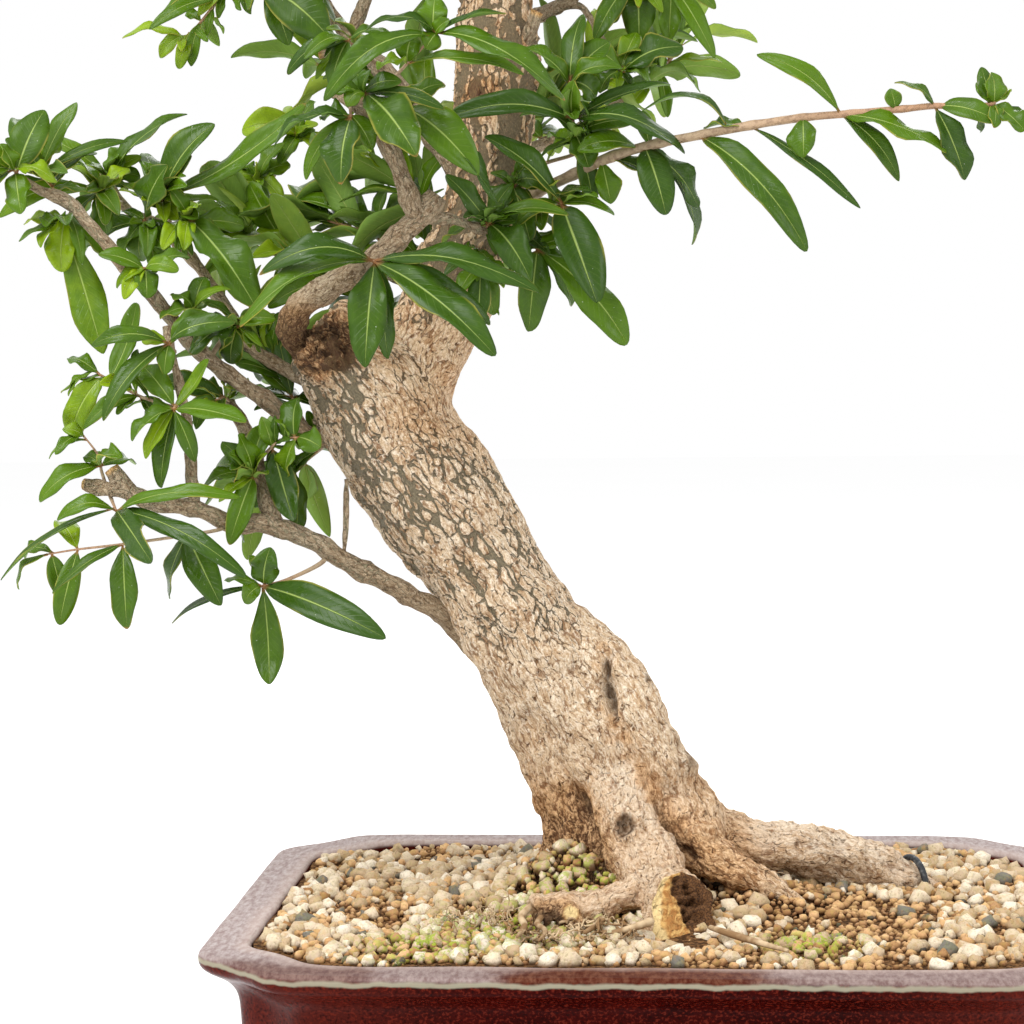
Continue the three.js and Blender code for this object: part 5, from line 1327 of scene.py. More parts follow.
        (1, -36, 28, 75, 18, 7), (1, -6, 22, 74, 14, 7), (1, -26, 2, 55, 12, 6), (1, -170, 2, 42, 10, 6)
    ], []),
    ("front_riser_hanging", [(-127, -46, 443), (-126, -54, 438)], 1.3, [
        (1, -98, 18, 29, 19, 3), (1, -162, 10, 34, 9, 6), (1, -134, -10, 34, 9, 3), (1, -58, -8, 17, 12, 3)
    ], [
        (1, 178, -15, 14, 12, 3)
    ]),
    ("front_riser_face", [(-123, -46, 445), (-120, -54, 448)], 1.3, [
        (1, -50, 28, 41, 22, 4), (1, 14, 22, 18, 10, 3), (1, 178, 0, 15, 8, 4), (1, -10, 12, 37, 7, 4)
    ], [
        (1, -146, 22, 10, 11, 2), (1, 70, 20, 11, 7, 2), (1, 108, 0, 12, 9, 2)
    ]),
    ("front_riser_foot", [(-108, -34, 440), (-105, -42, 443)], 1.3, [
        (1, -40, 20, 44, 20, 5), (1, -44, 6, 56, 13, 5), (1, -104, -8, 38, 10, 3), (1, 36, -12, 21, 11, 3)
    ], [
        (1, -84, -15, 17, 9, 2)
    ]),
    ("front_riser_top", [(-115, -44, 448), (-103, -48, 460), (-90, -52, 472)], 1.2, [
        (1, -26, 22, 63, 14, 9), (1, 12, 15, 33, 8, 3), (1, -152, 18, 53, 12, 12), (1, 88, 10, 17, 14, 2),
        (1, 174, 5, 29, 8, 6), (0.5, -6, 12, 50, 8, 5), (0.5, -164, 18, 18, 10, 3)
    ], [
        (1, -122, 28, 9, 11, 1), (0.5, 80, 0, 12, 12, 3), (1, 44, 30, 10, 7, 1)
    ]),
    ("upper_left_inner", [(-130, 20, 474), (-134, 4, 476), (-133, -6, 476)], 1.3, [
        (1, -156, 12, 30, 8, 5), (1, -158, 28, 24, 8, 4), (1, 10, 0, 19, 8, 4), (1, -164, -15, 29, 12, 4),
        (1, -110, 5, 23, 12, 2), (1, -92, 30, 23, 10, 2)
    ], []),
    ("upper_left_big", [(-153, 52, 508), (-161, 40, 510), (-177, 34, 506)], 1.1, [
        (1, -34, 26, 42, 24, 3), (1, -66, 5, 29, 14, 2), (1, -126, 0, 14, 11, 2), (1, 148, 0, 22, 11, 3),
        (0.5, 84, 0, 18, 13, 3), (0.5, -46, -20, 26, 12, 2)
    ], []),
    ("upper_left_end", [(-181, 58, 525), (-199, 46, 502), (-209, 44, 490), (-215, 44, 485)], 1, [
        (1, 174, 8, 28, 8, 4), (0.55, -154, 12, 37, 8, 4), (1, -140, 20, 16, 8, 3), (0.8, -106, 5, 21, 8, 3),
        (0.4, -164, -10, 40, 9, 3), (0.2, 146, 0, 17, 10, 3), (0.2, -86, 10, 21, 11, 2)
    ], [
        (0.8, 150, -15, 9, 6, 1)
    ]),
    ("long_shoot_fork", [(-62, 24, 421), (-47, 14, 424), (-35, 6, 427), (-35, -2, 432), (-36, -8, 440),
        (-38, -10, 450), (-37, -12, 456)], 1.1, [
        (0.76, 178, 12, 55, 13, 9), (0.76, -16, 20, 51, 15, 10), (0.77, 86, 38, 18, 12, 2),
        (0.76, 22, 0, 45, 10, 3), (0.65, 156, 8, 25, 9, 6), (0.65, -68, 42, 16, 15, 1),
        (1, 140, 12, 25, 11, 4), (1, 16, 18, 25, 10, 6), (1, 82, 0, 32, 13, 3), (1, 48, 5, 25, 15, 2)
    ], [
        (1, -28, -20, 14, 14, 2)
    ]),
    ("leader_glossy", [(-63, 17, 402), (-47, 3, 405), (-41, -8, 404)], 1.3, [
        (1, 136, 15, 44, 14, 4), (1, -70, 22, 48, 22, 3), (1, -12, 8, 24, 9, 4), (1, -160, 20, 21, 8, 3)
    ], [
        (1, -62, -22, 18, 9, 2)
    ]),
    ("cross_twig_top", [(-75, -6, 393), (-72, -14, 396)], 1.3, [
        (1, 10, 12, 34, 8, 5), (1, -50, 28, 33, 17, 4), (1, 130, 10, 28, 11, 3)
    ], [
        (1, 162, 18, 12, 9, 2), (1, 64, -5, 13, 8, 2), (1, -160, 12, 28, 10, 4)
    ]),
    ("leader_inner", [(-61, 14, 412), (-63, 0, 413)], 1.3, [
        (1, -8, 25, 18, 11, 5), (1, -72, 18, 27, 14, 2), (1, -140, 0, 15, 9, 3), (1, -24, -15, 23, 9, 3)
    ], [
        (1, 148, 15, 11, 8, 2), (1, 54, -10, 18, 9, 3)
    ]),
    ("leader_drooping", [(-66, 20, 395), (-56, 8, 391), (-52, -4, 385)], 1.3, [
        (1, -44, 10, 57, 18, 4), (1, -96, 15, 36, 16, 2), (1, -56, -14, 32, 13, 3)
    ], [
        (1, 16, -5, 13, 10, 2), (1, -176, -20, 15, 9, 3)
    ]),
    ("cross_twig_hanging", [(-79, -4, 387), (-76, -14, 378)], 1.3, [
        (1, -92, 15, 27, 12, 2), (1, -76, -8, 23, 11, 2), (1, -124, 30, 20, 9, 2)
    ], [
        (1, -22, 20, 13, 8, 2)
    ]),
    ("drooping_twig_tuft", [(-22, 22, 470), (-15, 10, 462)], 1.1, [
        (1, 26, 10, 28, 17, 3), (1, -26, 20, 15, 9, 3), (1, -134, 12, 14, 12, 3), (1, 68, -20, 22, 11, 3),
        (1, 146, -5, 21, 10, 3)
    ], [
        (1, 6, -22, 13, 10, 2)
    ]),
    ("upper_right_tufts", [(-24, 44, 511), (-8, 38, 507), (7, 34, 505)], 1.1, [
        (0.5, -88, 12, 31, 18, 3), (1, -92, 0, 27, 12, 2), (0.5, -120, -8, 23, 11, 2), (1, -60, 8, 43, 11, 3),
        (1, -32, -18, 24, 8, 2), (0.5, -126, 5, 36, 12, 3), (1, 44, 10, 21, 11, 4)
    ], []),
]
# Shoots of the crown and the back: name, twig, radius and number of leaves, which a rule places.
RULED_SHOOTS = [
    ("crown_left_end", [(-176, 2, 556), (-196, -4, 570), (-210, -8, 584)], 1.3, 7),
    ("crown_left_mid", [(-128, 12, 541), (-134, -4, 560), (-138, -12, 582)], 1.3, 7),
    ("crown_right_end", [(34, -2, 562), (54, -8, 574), (68, -12, 588)], 1.3, 7),
    ("crown_right_mid", [(-16, 10, 549), (-10, -6, 566), (-6, -14, 588)], 1.3, 7),
    ("crown_front_end", [(-70, -36, 578), (-68, -54, 590), (-66, -64, 604)], 1.3, 7),
    ("crown_front_mid", [(-73, 6, 558), (-92, -8, 578), (-104, -14, 596)], 1.3, 7),
    ("crown_back_end", [(-82, 94, 566), (-86, 112, 578), (-88, 122, 592)], 1.3, 7),
    ("crown_back_mid", [(-78, 56, 550), (-60, 66, 570), (-48, 70, 590)], 1.3, 7),
    ("crown_top", [(-78, 26, 610), (-78, 24, 628), (-80, 22, 642)], 1.4, 8),
    ("crown_upper_right", [(-78, 26, 578), (-56, 28, 596), (-42, 28, 614)], 1.3, 6),
    ("crown_upper_left", [(-78, 26, 584), (-100, 36, 600), (-114, 40, 616)], 1.3, 6),
    ("back_right_end", [(-14, 102, 460), (0, 112, 472), (10, 118, 486)], 1.3, 7),
    ("back_right_mid", [(-52, 72, 437), (-58, 92, 444), (-62, 108, 454)], 1.3, 6),
]
# Bare-looking twigs deep in the tree whose leaves fill it between the branches.
INNER_SHOOTS = [
    ("inner_high", [(-86, 44, 396), (-104, 58, 408), (-122, 64, 420), (-136, 66, 428)], 1.6, 9),
    ("inner_middle", [(-92, 42, 372), (-112, 56, 384), (-134, 62, 396), (-152, 62, 402)], 1.6, 11),
    ("inner_low", [(-110, 44, 345), (-132, 52, 362), (-154, 54, 378), (-170, 52, 388)], 1.6, 11),
    ("inner_left", [(-176, 90, 397), (-186, 74, 398), (-196, 60, 392)], 1.3, 8),
    ("inner_saddle", [(-96, 44, 366), (-104, 62, 380), (-108, 72, 396)], 1.3, 8),
    ("bole_side_high", [(-160, 20, 312), (-168, 30, 326), (-178, 34, 342)], 1.3, 9),
    ("bole_side_low", [(-150, 18, 300), (-158, 28, 294), (-168, 34, 286)], 1.3, 7),
    ("leader_back_right", [(-70, 44, 440), (-52, 62, 452), (-36, 72, 464), (-24, 76, 474)], 1.6, 10),
    ("leader_back_left", [(-84, 46, 440), (-112, 60, 456), (-138, 70, 468), (-156, 72, 474)], 1.6, 10),
]
# Leaves of the crown and the back face away from this upright line, the others to the front.
TREE_AXIS = (-90, 25)
FRONT_FACING = np.array([0, -0.75, 0.65])
# What is tried in turn, in degrees, until a leaf finds room.
LEAN_TRIES = [0, 7, -7, 14, -14, 21, -21, 28, -28, 35, -35, 42, -42, 50, -50]
HEADING_TRIES = [0, 9, -9, 18, -18]
TURN_TRIES = [0, 18, -18, 36, -36, 54, -54, 72, -72, 90, -90]
FILLER_TRIES = 14
GOLDEN_ANGLE = 137.5
# How far down the twig each of the leaves at its tip sits below the one before.
LEAF_PITCH = 0.8
SHOOT_SEED = 300
INNER_SEED = SHOOT_SEED + 100
SPUR_STAND = 4
# A blade's share next to its twig may touch its neighbours there.
FREE_FROM = 0.2
SPRAY_CLEARANCE = 4.4
BLADE_CLEARANCE = 2.2
WOOD_CLEARANCE = 2.4
# Shares of those clearances that the smallest and inner leaves, and the fillers, keep.
CLOSE = 0.35
CLOSER = 0.3
SLIMMER = 0.87
# Shoots whose tips lie behind this distance get fillers.
FILLED_FROM = -26
LEAF_THICKNESS_IN_METRES = 0.0004
# A blade's strip has this many corners along and across, and its stalk takes this share of it.
STRIP = {"Size X": 1.0, "Size Y": 1.0, "Vertices X": 19, "Vertices Y": 5}
STALK_SHARE = 0.05
# The form of each blade, drawn in this order: the lance's fullest place and its point, the fold along its
# midrib, its wavy margin, twist and droop, and where its wave starts.
BLADE_FORMS = [
    ("belly", 0.9, 1.3), ("point", 0.42, 0.70), ("fold", 0.06, 0.55), ("wave", 0.05, 0.5),
    ("twist", -0.7, 0.7), ("droop", 0, 0.16), ("phase", 0, math.tau),
]


def random_from(seed):
    """Seeded random numbers 0..1."""
    state = seed

    def draw():
        nonlocal state
        state = (state + 0x6D2B79F5) & 0xFFFFFFFF
        t = ((state ^ (state >> 15)) * (state | 1)) & 0xFFFFFFFF
        t = (t + (((t ^ (t >> 7)) * (t | 61)) & 0xFFFFFFFF) & 0xFFFFFFFF) ^ t
        return ((t ^ (t >> 14)) & 0xFFFFFFFF) / 4294967296

    return draw


def unit(v):
    return v / np.linalg.norm(v)


def turned(v, axis, angle):
    """A vector turned about an axis."""
    cosine, sine = math.cos(angle), math.sin(angle)
    return v * cosine + np.cross(axis, v) * sine + axis * (axis @ v) * (1 - cosine)


def length_of(points):
    """The length of a line through points."""
    return np.linalg.norm(np.diff(points, axis=0), axis=1).sum()


def point_along(points, share):
    """The point at a share of the length of a line through points."""
    steps = np.linalg.norm(np.diff(points, axis=0), axis=1)
    left = share * steps.sum()
    for i, step in enumerate(steps):
        if left <= step or i == len(steps) - 1:
            return points[i] + (points[i + 1] - points[i]) * min(1, left / step)
        left -= step


def wood_samples():
    """Points every few millimetres along all the wood above the soil, with its radius there."""
    lines = [np.array(rows, float) for rows in (BOLE, LEADER, BUTTRESS[1:])]
    lines += [thinning(route, foot, tip) for foot, tip, route in LIMBS.values()]
    samples = []
    for line in lines:
        for start, end in zip(line, line[1:]):
            count = math.ceil(np.linalg.norm(end[:3] - start[:3]) / 5)
            samples += [start + (end - start) * k / count for k in range(count + 1)]
    return np.array(samples)


def outside(wood, points):
    """How far each point lies outside the bark."""
    return (np.linalg.norm(points[:, None] - wood[None, :, :3], axis=2) - wood[:, 3]).min(1)


def blade_of(base, ahead, facing, length, width, bow):
    """A blade: where it starts, its heading, its upper face, its size and the arch of its midrib."""
    face = unit(facing - facing @ ahead * ahead)
    return {"base": base, "ahead": ahead, "face": face, "length": length, "width": width, "bow": bow}


def blade_samples(blade, start):
    """Points all over a blade, from a share of its length on."""
    count = max(4, math.ceil(blade["length"] / 4))
    t = np.arange(max(1, math.ceil(start * count)), count + 1) / count
    midrib = blade["base"] + np.outer(t * blade["length"], blade["ahead"])
    midrib += np.outer(blade["bow"] * 4 * t * (1 - t), blade["face"])
    side = np.cross(blade["ahead"], blade["face"])
    across = np.outer(blade["width"] / 2 * np.sin(math.pi * t), [-1, -0.5, 0, 0.5, 1])
    return (midrib[:, None] + across[:, :, None] * side).reshape(-1, 3)


def headed(heading, lean):
    turn, tilt = math.radians(heading), math.radians(lean)
    return np.array([math.cos(turn) * math.cos(tilt), -math.sin(tilt), math.sin(turn) * math.cos(tilt)])


def measured_tries(shoot, row, index):
    """The leaf as its row gives it, then leaning or heading a little off."""
    share, heading, lean, length, width, bow = row
    twig = shoot["twig"]
    roll = math.radians(24 * (shoot["draw"]() - 0.5))
    base = point_along(twig, share)
    if share == 1:
        base = base - LEAF_PITCH * (index % 4) * unit(twig[-1] - twig[-2])
    for swing in HEADING_TRIES:
        for change in LEAN_TRIES:
            ahead = headed(heading + swing, lean + change)
            yield blade_of(base, ahead, turned(FRONT_FACING, ahead, roll), length, width, bow)


def ruled_tries(shoot, index):
    """A leaf spiralled round the twig, spreading less towards its tip."""
    twig = shoot["twig"]
    share = index / (shoot["leaves"] - 1)
    spread, length, slim, bow, roll = (shoot["draw"]() for _ in range(5))
    base = point_along(twig, 0.25 + 0.75 * share)
    along = unit(twig[-1] - twig[0])
    across = unit(np.cross(along, (0, 0, 1)))
    third = np.cross(along, across)
    tilt = math.radians(78 - 48 * share + 14 * (spread - 0.5))
    outward = unit(np.array([base[0] - TREE_AXIS[0], base[1] - TREE_AXIS[1], 0]))
    size = 34 + 16 * length
    for change in TURN_TRIES:
        turn = math.radians(GOLDEN_ANGLE * index + change)
        round_twig = across * math.cos(turn) + third * math.sin(turn)
        ahead = unit(along * math.cos(tilt) + round_twig * math.sin(tilt))
        facing = turned(0.55 * outward + (0, 0, 0.8), ahead, math.radians(50 * (roll - 0.5)))
        yield blade_of(base, ahead, facing, size, size * (0.29 + 0.08 * slim), 3 + 4 * bow)


def filler_tries(shoot, size):
    """A smaller leaf anywhere along the twig, heading anywhere off it, its face turned up and to the front."""
    twig, draw = shoot["twig"], shoot["draw"]
    base = point_along(twig, 0.15 + 0.85 * draw())
    along = unit(twig[-1] - twig[0])
    length = size * (0.45 + 0.5 * draw())
    for _ in range(FILLER_TRIES):
        ahead = unit(along * (draw() - 0.15) + (draw() - 0.5, draw() - 0.55, draw() - 0.5))
        facing = unit(np.array([draw() - 0.5, -0.3 - 0.6 * draw(), 0.5 + 0.5 * draw()]))
        yield blade_of(base, ahead, facing, length, length * (0.27 + 0.16 * draw()), length * 0.08)


def start_shoot(name, points, girth, leaves, small, seed, wood):
    """A shoot with its twig, rooted in the nearest wood and standing out of the bark."""
    twig = np.array(points, float)
    foot = wood[np.linalg.norm(wood[:, :3] - twig[0], axis=1).argmin(), :3]
    outward = unit(twig[-1] - foot)
    while outside(wood, twig[-1:])[0] < SPUR_STAND:
        twig[-1] += outward
    rooted = np.vstack([foot, twig]) if np.linalg.norm(foot - twig[0]) > 1 else twig
    return {
        "name": name, "twig": twig, "rooted": rooted, "girth": girth, "leaves": leaves, "small": small,
        "draw": random_from(seed), "blades": [],
    }


def twig_room(shoot):
    """The room that a shoot's twig takes."""
    count = math.ceil(length_of(shoot["rooted"]) / 3)
    points = np.array([point_along(shoot["rooted"], i / count) for i in range(count + 1)])
    middle = point_along(shoot["rooted"], 0.5)
    return shoot, points, points[:0], middle, np.linalg.norm(points - middle, axis=1).max()


def blade_room(shoot, blade):
    """The room that a blade takes: all of it, and the part that stands clear of its own tuft."""
    points, outer = blade_samples(blade, 0), blade_samples(blade, FREE_FROM)
    middle = blade["base"] + blade["ahead"] * blade["length"] / 2 + blade["face"] * blade["bow"]
    return shoot, points, outer, middle, blade["length"] * 0.6


def has_room(room, wood, taken, ease_off=1.0):
    """True where a blade's room is clear of the wood and of all that is taken."""
    shoot, points, outer, middle, reach = room
    if outside(wood, outer).min() < WOOD_CLEARANCE * ease_off:
        return False
    for other, other_points, other_outer, other_middle, other_reach in taken:
        if np.linalg.norm(other_middle - middle) > other_reach + reach + SPRAY_CLEARANCE:
            continue
        same = other is shoot
        mine, theirs = (outer, other_outer) if same else (points, other_points)
        gap = (BLADE_CLEARANCE if same else SPRAY_CLEARANCE) * ease_off
        if len(theirs) and np.linalg.norm(mine[:, None] - theirs[None], axis=2).min() < gap:
            return False
    return True


def grow_shoots():
    """All shoots with their twigs and the blades that found room."""
    wood = wood_samples()
    rows = SHOOTS + [(*row, []) for row in RULED_SHOOTS]
    shoots = [start_shoot(*row, SHOOT_SEED + index, wood) for index, row in enumerate(rows)]
    taken = [twig_room(shoot) for shoot in shoots]

    def settle(shoot, tries, ease_off=1.0):
        for blade in tries:
            room = blade_room(shoot, blade)
            if has_room(room, wood, taken, ease_off):
                shoot["blades"].append(blade)
                taken.append(room)
                return

    for shoot in shoots:
        if isinstance(shoot["leaves"], int):
            for index in range(shoot["leaves"]):
                settle(shoot, ruled_tries(shoot, index))
        else:
            for index, row in enumerate(shoot["leaves"]):
                settle(shoot, measured_tries(shoot, row, index))
    for shoot in shoots:
        for index, row in enumerate(shoot["small"]):
            settle(shoot, measured_tries(shoot, row, index), CLOSE)
    inner = [start_shoot(*row, [], INNER_SEED + index, wood) for index, row in enumerate(INNER_SHOOTS)]
    for shoot in inner:
        for index in range(shoot["leaves"]):
            settle(shoot, ruled_tries(shoot, index), CLOSE)
    for shoot in shoots + inner:
        if shoot["twig"][-1][1] >= FILLED_FROM:
            size = np.mean([blade["length"] for blade in shoot["blades"]])
            for _ in range(3 + len(shoot["blades"])):
                settle(shoot, filler_tries(shoot, size), CLOSER)
    return shoots, inner


def leaf_tree():
    """A blade on each point: a flat strip shaped to a lance, then folded, waved, twisted and arched."""
    tree, given = new_nodes_tree("leaf_blades", {"Stalk": "Float", "Material": "Material"})
    place = given_by(tree, "GeometryNodeInputPosition")
    along, aside, _ = apart(place)
    flat = given_by(tree, "ShaderNodeCombineXYZ", {0: ease(along, -0.5, 0.5), 1: aside * 2.0})
    strip = stored(given_by(tree, "GeometryNodeMeshGrid", STRIP), "blade", flat, "FLOAT_VECTOR")
    blades = strewn(stored(given["Geometry"], "foot", place, "FLOAT_VECTOR"), strip)
    u, v, _ = apart(named(tree, "blade", "FLOAT_VECTOR"))
    foot, ahead, face = (named(tree, name, "FLOAT_VECTOR") for name in ("foot", "ahead", "face"))
    length, width, bow = (named(tree, name) for name in ("length", "width", "bow"))
    belly, point, fold, wave, twist, droop, phase = (named(tree, name) for name, _, _ in BLADE_FORMS)
    # The outline: a thin stalk, then a lance.
    share = given_by(tree, "ShaderNodeMapRange", {"Value": u, "From Min": given["Stalk"], "From Max": 1.0})
    lance = larger(maths("SINE", share ** belly * math.pi), 0.0) ** point
    half = larger(width * 0.5 * lance, (1.0 - u ** 8.0) * 0.0005)
    # The blade twists along its length.
    side = vectors("CROSS_PRODUCT", face, ahead)
    cosine, sine = maths("COSINE", twist * u), maths("SINE", twist * u)
    side_now = vectors("ADD", scaled(side, cosine), scaled(face, sine))
    face_now = vectors("SUBTRACT", scaled(face, cosine), scaled(side, sine))
    # Height over the chord: arch, fold along the midrib, wavy margins, drooping tip.
    arch = u * (1.0 - u) * 4.0 * bow - droop * length * u ** 3.0
    spread = v * half
    rise = abs(spread) * fold + maths("SINE", u * 12.0 + phase) * (v * v * half) * wave
    spot = foot
    for way, distance in ((ahead, length * u), (face, arch), (face_now, rise), (side_now, spread)):
        spot = vectors("ADD", spot, scaled(way, distance))
    blades = changed(changed(blades, "SetPosition", Position=spot), "SetShadeSmooth")
    return end_tree(blades, given["Material"])


def leaf_finish(name, shades, gloss, veins):
    """A leaf's surface: its own shade of green, thin pale midrib, faint side veins, some browned tips."""
    material, shader, place = finish(name, Roughness=gloss, Specular_IOR_Level=0.21)
    u, v, _ = apart(carried(shader, "blade", "Vector"))
    v = abs(v)
    mottle = noise(place, 150.0)
    shade = carried(shader, "tint") + (mottle - 0.5) * 0.4
    colour = layered(shaded(shade, 0.0, 0.55, *shades[:2]), (shade, 0.55, 1.0, 0.0, 1.0, shades[2]))
    vein = abs(maths("FRACT", u * 15.0 - v * 2.6) - 0.5)
    vein = ease(vein, 0.03, 0.14, 1.0, 0.0) * ease(v, 0.6, 0.9, 1.0, 0.0)
    colour = mix(vein * veins, colour, (0.26, 0.36, 0.06))
    rib = ease(v - (0.075 - u * 0.06), -0.03, 0.035, 1.0, 0.0)
    colour = mix(rib * 0.6, colour, (0.36, 0.46, 0.12))
    tired = ease(noise(place, 30.0, 2.0), 0.5, 0.62)
    colour = mix(ease(v, 0.88, 1.0) * (tired * 0.6), colour, (0.34, 0.30, 0.05))
    colour = layered(
        colour,
        (u + mottle * 0.1 + tired * 0.05, 1.07, 1.11, 0.0, 0.85, (0.26, 0.13, 0.03)),
        (u, 0.03, 0.09, 0.7, 0.0, (0.30, 0.11, 0.05)),
        (noise(place, 1100.0, 1.0), 0.76, 0.80, 0.0, 0.5, (0.55, 0.58, 0.5)),
    )
    worn = ease(noise(place, 60.0), 0.35, 0.65, gloss - 0.1, gloss + 0.14)
    colour_with(shader, colour, worn, mottle * 0.8 - vein * 0.14 - rib * 0.8, 0.0006, 0.7)
    return material


def shoot_finish():
    """The thin bark of young twigs: tan-brown with flecks, redder and greener towards the tip."""
    material, shader, place = finish("shoot_bark", Roughness=0.6, Specular_IOR_Level=0.4)
    flecks = noise(place, 500.0, 4.0, 0.6)
    colour = layered(
        shaded(apart(carried(shader, "blade", "Vector"))[0], 0.3, 1.0, (0.36, 0.27, 0.17), (0.37, 0.20, 0.11)),
        (flecks, 0.45, 0.65, 0.0, 0.6, (0.16, 0.09, 0.05)),
    )
    colour_with(shader, colour, None, flecks, 0.0004, 0.7)
    return material


def even(angles, place):
    """No swelling."""
    return 1.0


def blade_points(shoot, draw):
    """A point for each blade of a shoot, carrying the blade's place, size and form."""
    values = {key: np.array([blade[key] for blade in shoot["blades"]]) for key in shoot["blades"][0]}
    points = mesh_piece(f"leaves_{shoot['name']}", in_place(values["base"]), [])
    for name in ("ahead", "face"):
        carry(points, name, values[name])
    for name, share in (("length", 1), ("width", SLIMMER), ("bow", 1)):
        carry(points, name, values[name] * share * MM)
    count, long = len(values["length"]), values["length"]
    x, y, _ = values["base"].T
    # Small leaves are younger and lighter. Leaves at the back and on the left are painted lighter, as painted
    # light shining through them.
    young = 0.04 + 0.6 * draw.uniform(0, 1, count) ** 2.4 + 0.16 * (long < 26) - 0.14 * (long > 44)
    young += 0.34 * step_between(y, 5, 80) + 0.16 * step_between(-x, 170, 230)
    carry(points, "tint", np.clip(young, 0, 1))
    for name, low, high in BLADE_FORMS:
        carry(points, name, draw.uniform(low, high, count))
    return points


def make_twig(shoot, material):
    """A shoot's twig, thickest in the wood that it grows from."""
    thick = shoot["girth"] > 2
    sides = 10 if thick else 7
    rows = np.column_stack([shoot["rooted"], shoot["girth"] * np.linspace(1, 0.36, len(shoot["rooted"]))])
    rings, _ = stem(rows, 1.8, sides, limb_swell if thick else even)
    corners = in_place(closed(rings))
    twig = mesh_piece("twig", corners, skin(rings), material)
    share = np.repeat(np.linspace(0, 1, len(rings)), sides)
    carry(twig, "blade", np.column_stack([[*share, 0, 1], np.zeros((len(corners), 2))]))
    return twig


def make_shoot(shoot, tree, finishes, draw):
    leaves = made_by(tree, blade_points(shoot, draw), {"Stalk": STALK_SHARE, "Material": finishes["upper"]})
    leaves.data.materials.append(finishes["under"])
    wall = leaves.modifiers.new("thickness", "SOLIDIFY")
    wall.thickness = LEAF_THICKNESS_IN_METRES
    wall.offset = -1
    wall.material_offset = 1
    return joined(f"foliage_{shoot['name']}", [baked(leaves), make_twig(shoot, finishes["twig"])])


finishes = {
    "upper": leaf_finish(
        "leaf_upper", [(0.024, 0.060, 0.003), (0.064, 0.132, 0.002), (0.20, 0.30, 0.004)], 0.30, 0.04,
    ),
    "under": leaf_finish(
        "leaf_under", [(0.12, 0.21, 0.04), (0.18, 0.30, 0.04), (0.36, 0.46, 0.05)], 0.55, 0.25,
    ),
    "twig": shoot_finish(),
}
blade_tree = leaf_tree()
leaf_draw = np.random.default_rng(57)
outer_shoots, inner_shoots = grow_shoots()
for shoot in outer_shoots + inner_shoots:
    foliage = make_shoot(shoot, blade_tree, finishes, leaf_draw)
    if shoot in outer_shoots:
        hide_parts(f"shoot_{shoot['name']}")
    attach(foliage, "root")


# Fine roots and litter: dry hair roots that hang from the sawn left arm to the soil, a few blades of dead moss
# and grass, and a thin dropped twig. All of it is loose, brittle and grey-tan.

LITTER_SEED = 83
ARM_UNDERSIDE = np.array([(-50, -66, 98), (-38, -68, 97), (-28, -62, 100), (-16, -56, 101)], float)
ROOT_HAIRS = 46
HAIR_RADIUS = (0.3, 0.9)
SOIL_TOP = 105
WISPS = 26
WISP_MIDDLE = (-70, -62, 104)
WISP_RADIUS = 0.3
# Threads laid one by one, as places and radii.
DROPPED_TWIG = [(20, -74, 104.5, 1.1), (28, -87, 105, 1.5), (39, -99, 104.5, 1.3), (50, -110, 104, 0.8)]
BROKEN_ROOTS = [
    [(-55, -58, 109, 1.5), (-58, -66, 106.5, 1.6), (-56, -76, 105, 1.3), (-58, -92, 104.5, 0.7)],
    [(-50, -64, 106, 1.4), (-51, -72, 105, 1.3), (-47, -82, 104.5, 1.0), (-49, -96, 104, 0.6)],
    [(-29, -62, 101, 1.6), (-27, -72, 104.5, 1.3), (-31, -84, 104.5, 0.9)],
]
DROPPED_SPRIG = [(-20, -82, 104, 1.0), (-12, -80, 105.5, 1.5), (-4, -72, 106.5, 1.8)]


def hair_rows(draw, start, middle, end, radius):
    """A crooked thread from start past middle to end, thinning as it goes."""
    route = through([start, middle, end], 5)
    route[1:-1] += draw.normal(0, 0.9, (len(route) - 2, 3))
    return np.column_stack([route, radius * np.linspace(1, 0.45, len(route))])


def make_litter(material):
    draw = np.random.default_rng(LITTER_SEED)
    threads = []
    for _ in range(ROOT_HAIRS):
        start = point_along(ARM_UNDERSIDE, draw.uniform(0, 1) ** 1.3) + draw.normal(0, 2, 3)
        end = start + (draw.normal(2, 7), draw.uniform(-34, -4), 0)
        end[2] = SOIL_TOP - 2.5 * draw.uniform(0, 1)
        middle = (start + end) / 2 + (draw.normal(0, 3), draw.normal(-2, 2), draw.uniform(1, 4))
        threads.append(hair_rows(draw, start, middle, end, draw.uniform(*HAIR_RADIUS)))
    for _ in range(WISPS):
        start = np.array(WISP_MIDDLE) + draw.normal(0, (9, 9, 0.5))
        end = start + draw.normal(0, (9, 6, 1)) + (0, 0, 1)
        middle = (start + end) / 2 + (0, 0, draw.uniform(2, 6))
        threads.append(hair_rows(draw, start, middle, end, WISP_RADIUS))
    threads += [np.array(rows) for rows in (DROPPED_TWIG, DROPPED_SPRIG, *BROKEN_ROOTS)]
    litter, _ = joined_stems("fine_roots", [stem(rows, 1.4, 6, even) for rows in threads])
    litter.data.materials.append(material)
    return litter


litter_finish, litter_shader, litter_place = finish("dry_roots", Roughness=0.9, Specular_IOR_Level=0.2)
litter_shade = noise(litter_place, 90.0)
colour_with(litter_shader, shaded(litter_shade, 0.38, 0.62, (0.24, 0.14, 0.065), (0.56, 0.42, 0.26)))
litter = make_litter(litter_finish)
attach(litter, "root")


# The stage: a pale table top that runs off into a white room, one broad soft light above on the left, a
# weaker one on the right and one behind, and a camera a metre in front, a little above the leaning trunk.

# The floor's size in metres; the lamps' places and aim in millimetres from the pot's middle.
FLOOR_SIZE = 14.0
FLOOR_SHADES = [(0.975, 0.975, 0.975), (0.985, 0.985, 0.985)]
ROOM_WHITE = (1.0, 1.0, 1.0, 1)
LAMP_AIM = (-60, 0, 300)
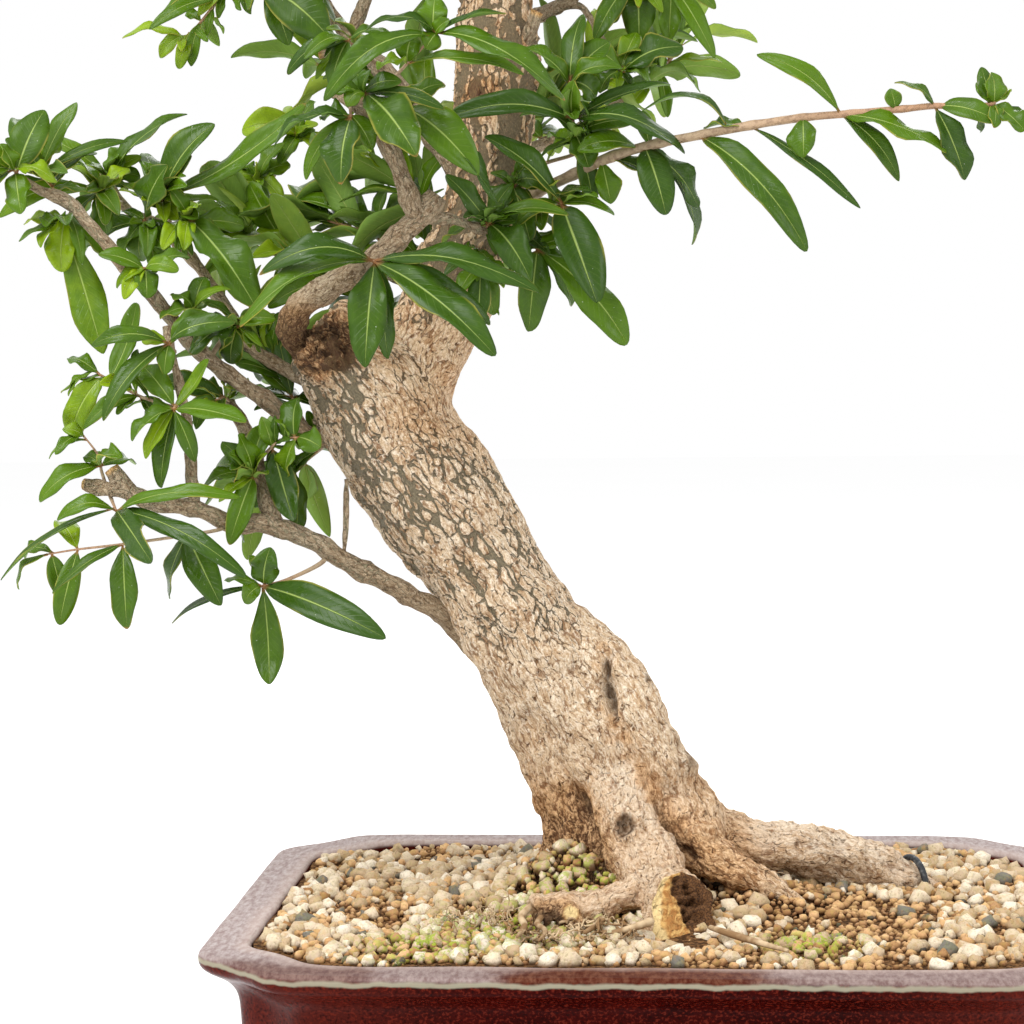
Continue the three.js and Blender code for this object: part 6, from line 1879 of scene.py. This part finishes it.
# Each lamp: name, place, size in metres and power in watts.
LAMPS = [
    ("lamp_left", (-900, -900, 1500), 1.2, 34), ("lamp_right", (1300, -700, 900), 1.0, 9),
    ("lamp_back", (300, 1500, 1300), 1.2, 14),
]
CAMERA_PLACE = (8, -1047, 338)
CAMERA_TURN = math.radians(-3.97)
CAMERA_DIP = math.radians(3.67)
CAMERA_ROLL = math.radians(-0.61)
CAMERA_LENS = 84.4


def make_floor():
    material, shader, place = finish("pale_floor", Roughness=1.0, Specular_IOR_Level=0.0)
    colour_with(shader, mix(noise(place, 3.0, 2.0), *FLOOR_SHADES))
    half = FLOOR_SIZE / 2
    corners = [(-half, -half, 0), (half, -half, 0), (half, half, 0), (-half, half, 0)]
    floor = mesh_piece("floor", corners, [(0, 1, 2, 3)], material)


def soft_light(name, place, size, power):
    """A square lamp that faces the tree."""
    lamp = bpy.data.lights.new(name, "AREA")
    lamp.shape = "SQUARE"
    lamp.size = size
    lamp.energy = power
    holder = bpy.data.objects.new(name, lamp)
    holder.location = in_place(place)
    towards = Vector(in_place(LAMP_AIM)) - holder.location
    holder.rotation_euler = towards.to_track_quat("-Z", "Y").to_euler()
    bpy.context.scene.collection.objects.link(holder)


def make_camera():
    """The camera, turned to the right, dipped and rolled by its three small angles."""
    level_ahead = math.cos(CAMERA_DIP)
    ahead = Vector((
        math.sin(CAMERA_TURN) * level_ahead, math.cos(CAMERA_TURN) * level_ahead, -math.sin(CAMERA_DIP),
    ))
    level = Vector((math.cos(CAMERA_TURN), -math.sin(CAMERA_TURN), 0))
    upright = level.cross(ahead)
    right = level * math.cos(CAMERA_ROLL) + upright * math.sin(CAMERA_ROLL)
    above = upright * math.cos(CAMERA_ROLL) - level * math.sin(CAMERA_ROLL)
    lens = bpy.data.cameras.new("camera")
    lens.lens = CAMERA_LENS
    lens.sensor_width = 36.0
    camera = bpy.data.objects.new("camera", lens)
    turn = Matrix((right, above, -ahead)).transposed().to_4x4()
    camera.matrix_world = Matrix.Translation(Vector(in_place(CAMERA_PLACE))) @ turn
    bpy.context.scene.collection.objects.link(camera)
    bpy.context.scene.camera = camera


make_floor()
for lamp in LAMPS:
    soft_light(*lamp)
world = bpy.data.worlds.new("white_room")
world.use_nodes = True
world.node_tree.nodes["Background"].inputs[0].default_value = ROOM_WHITE
world.node_tree.nodes["Background"].inputs[1].default_value = 1.0
bpy.context.scene.world = world
bpy.context.scene.view_settings.view_transform = "Standard"
make_camera()
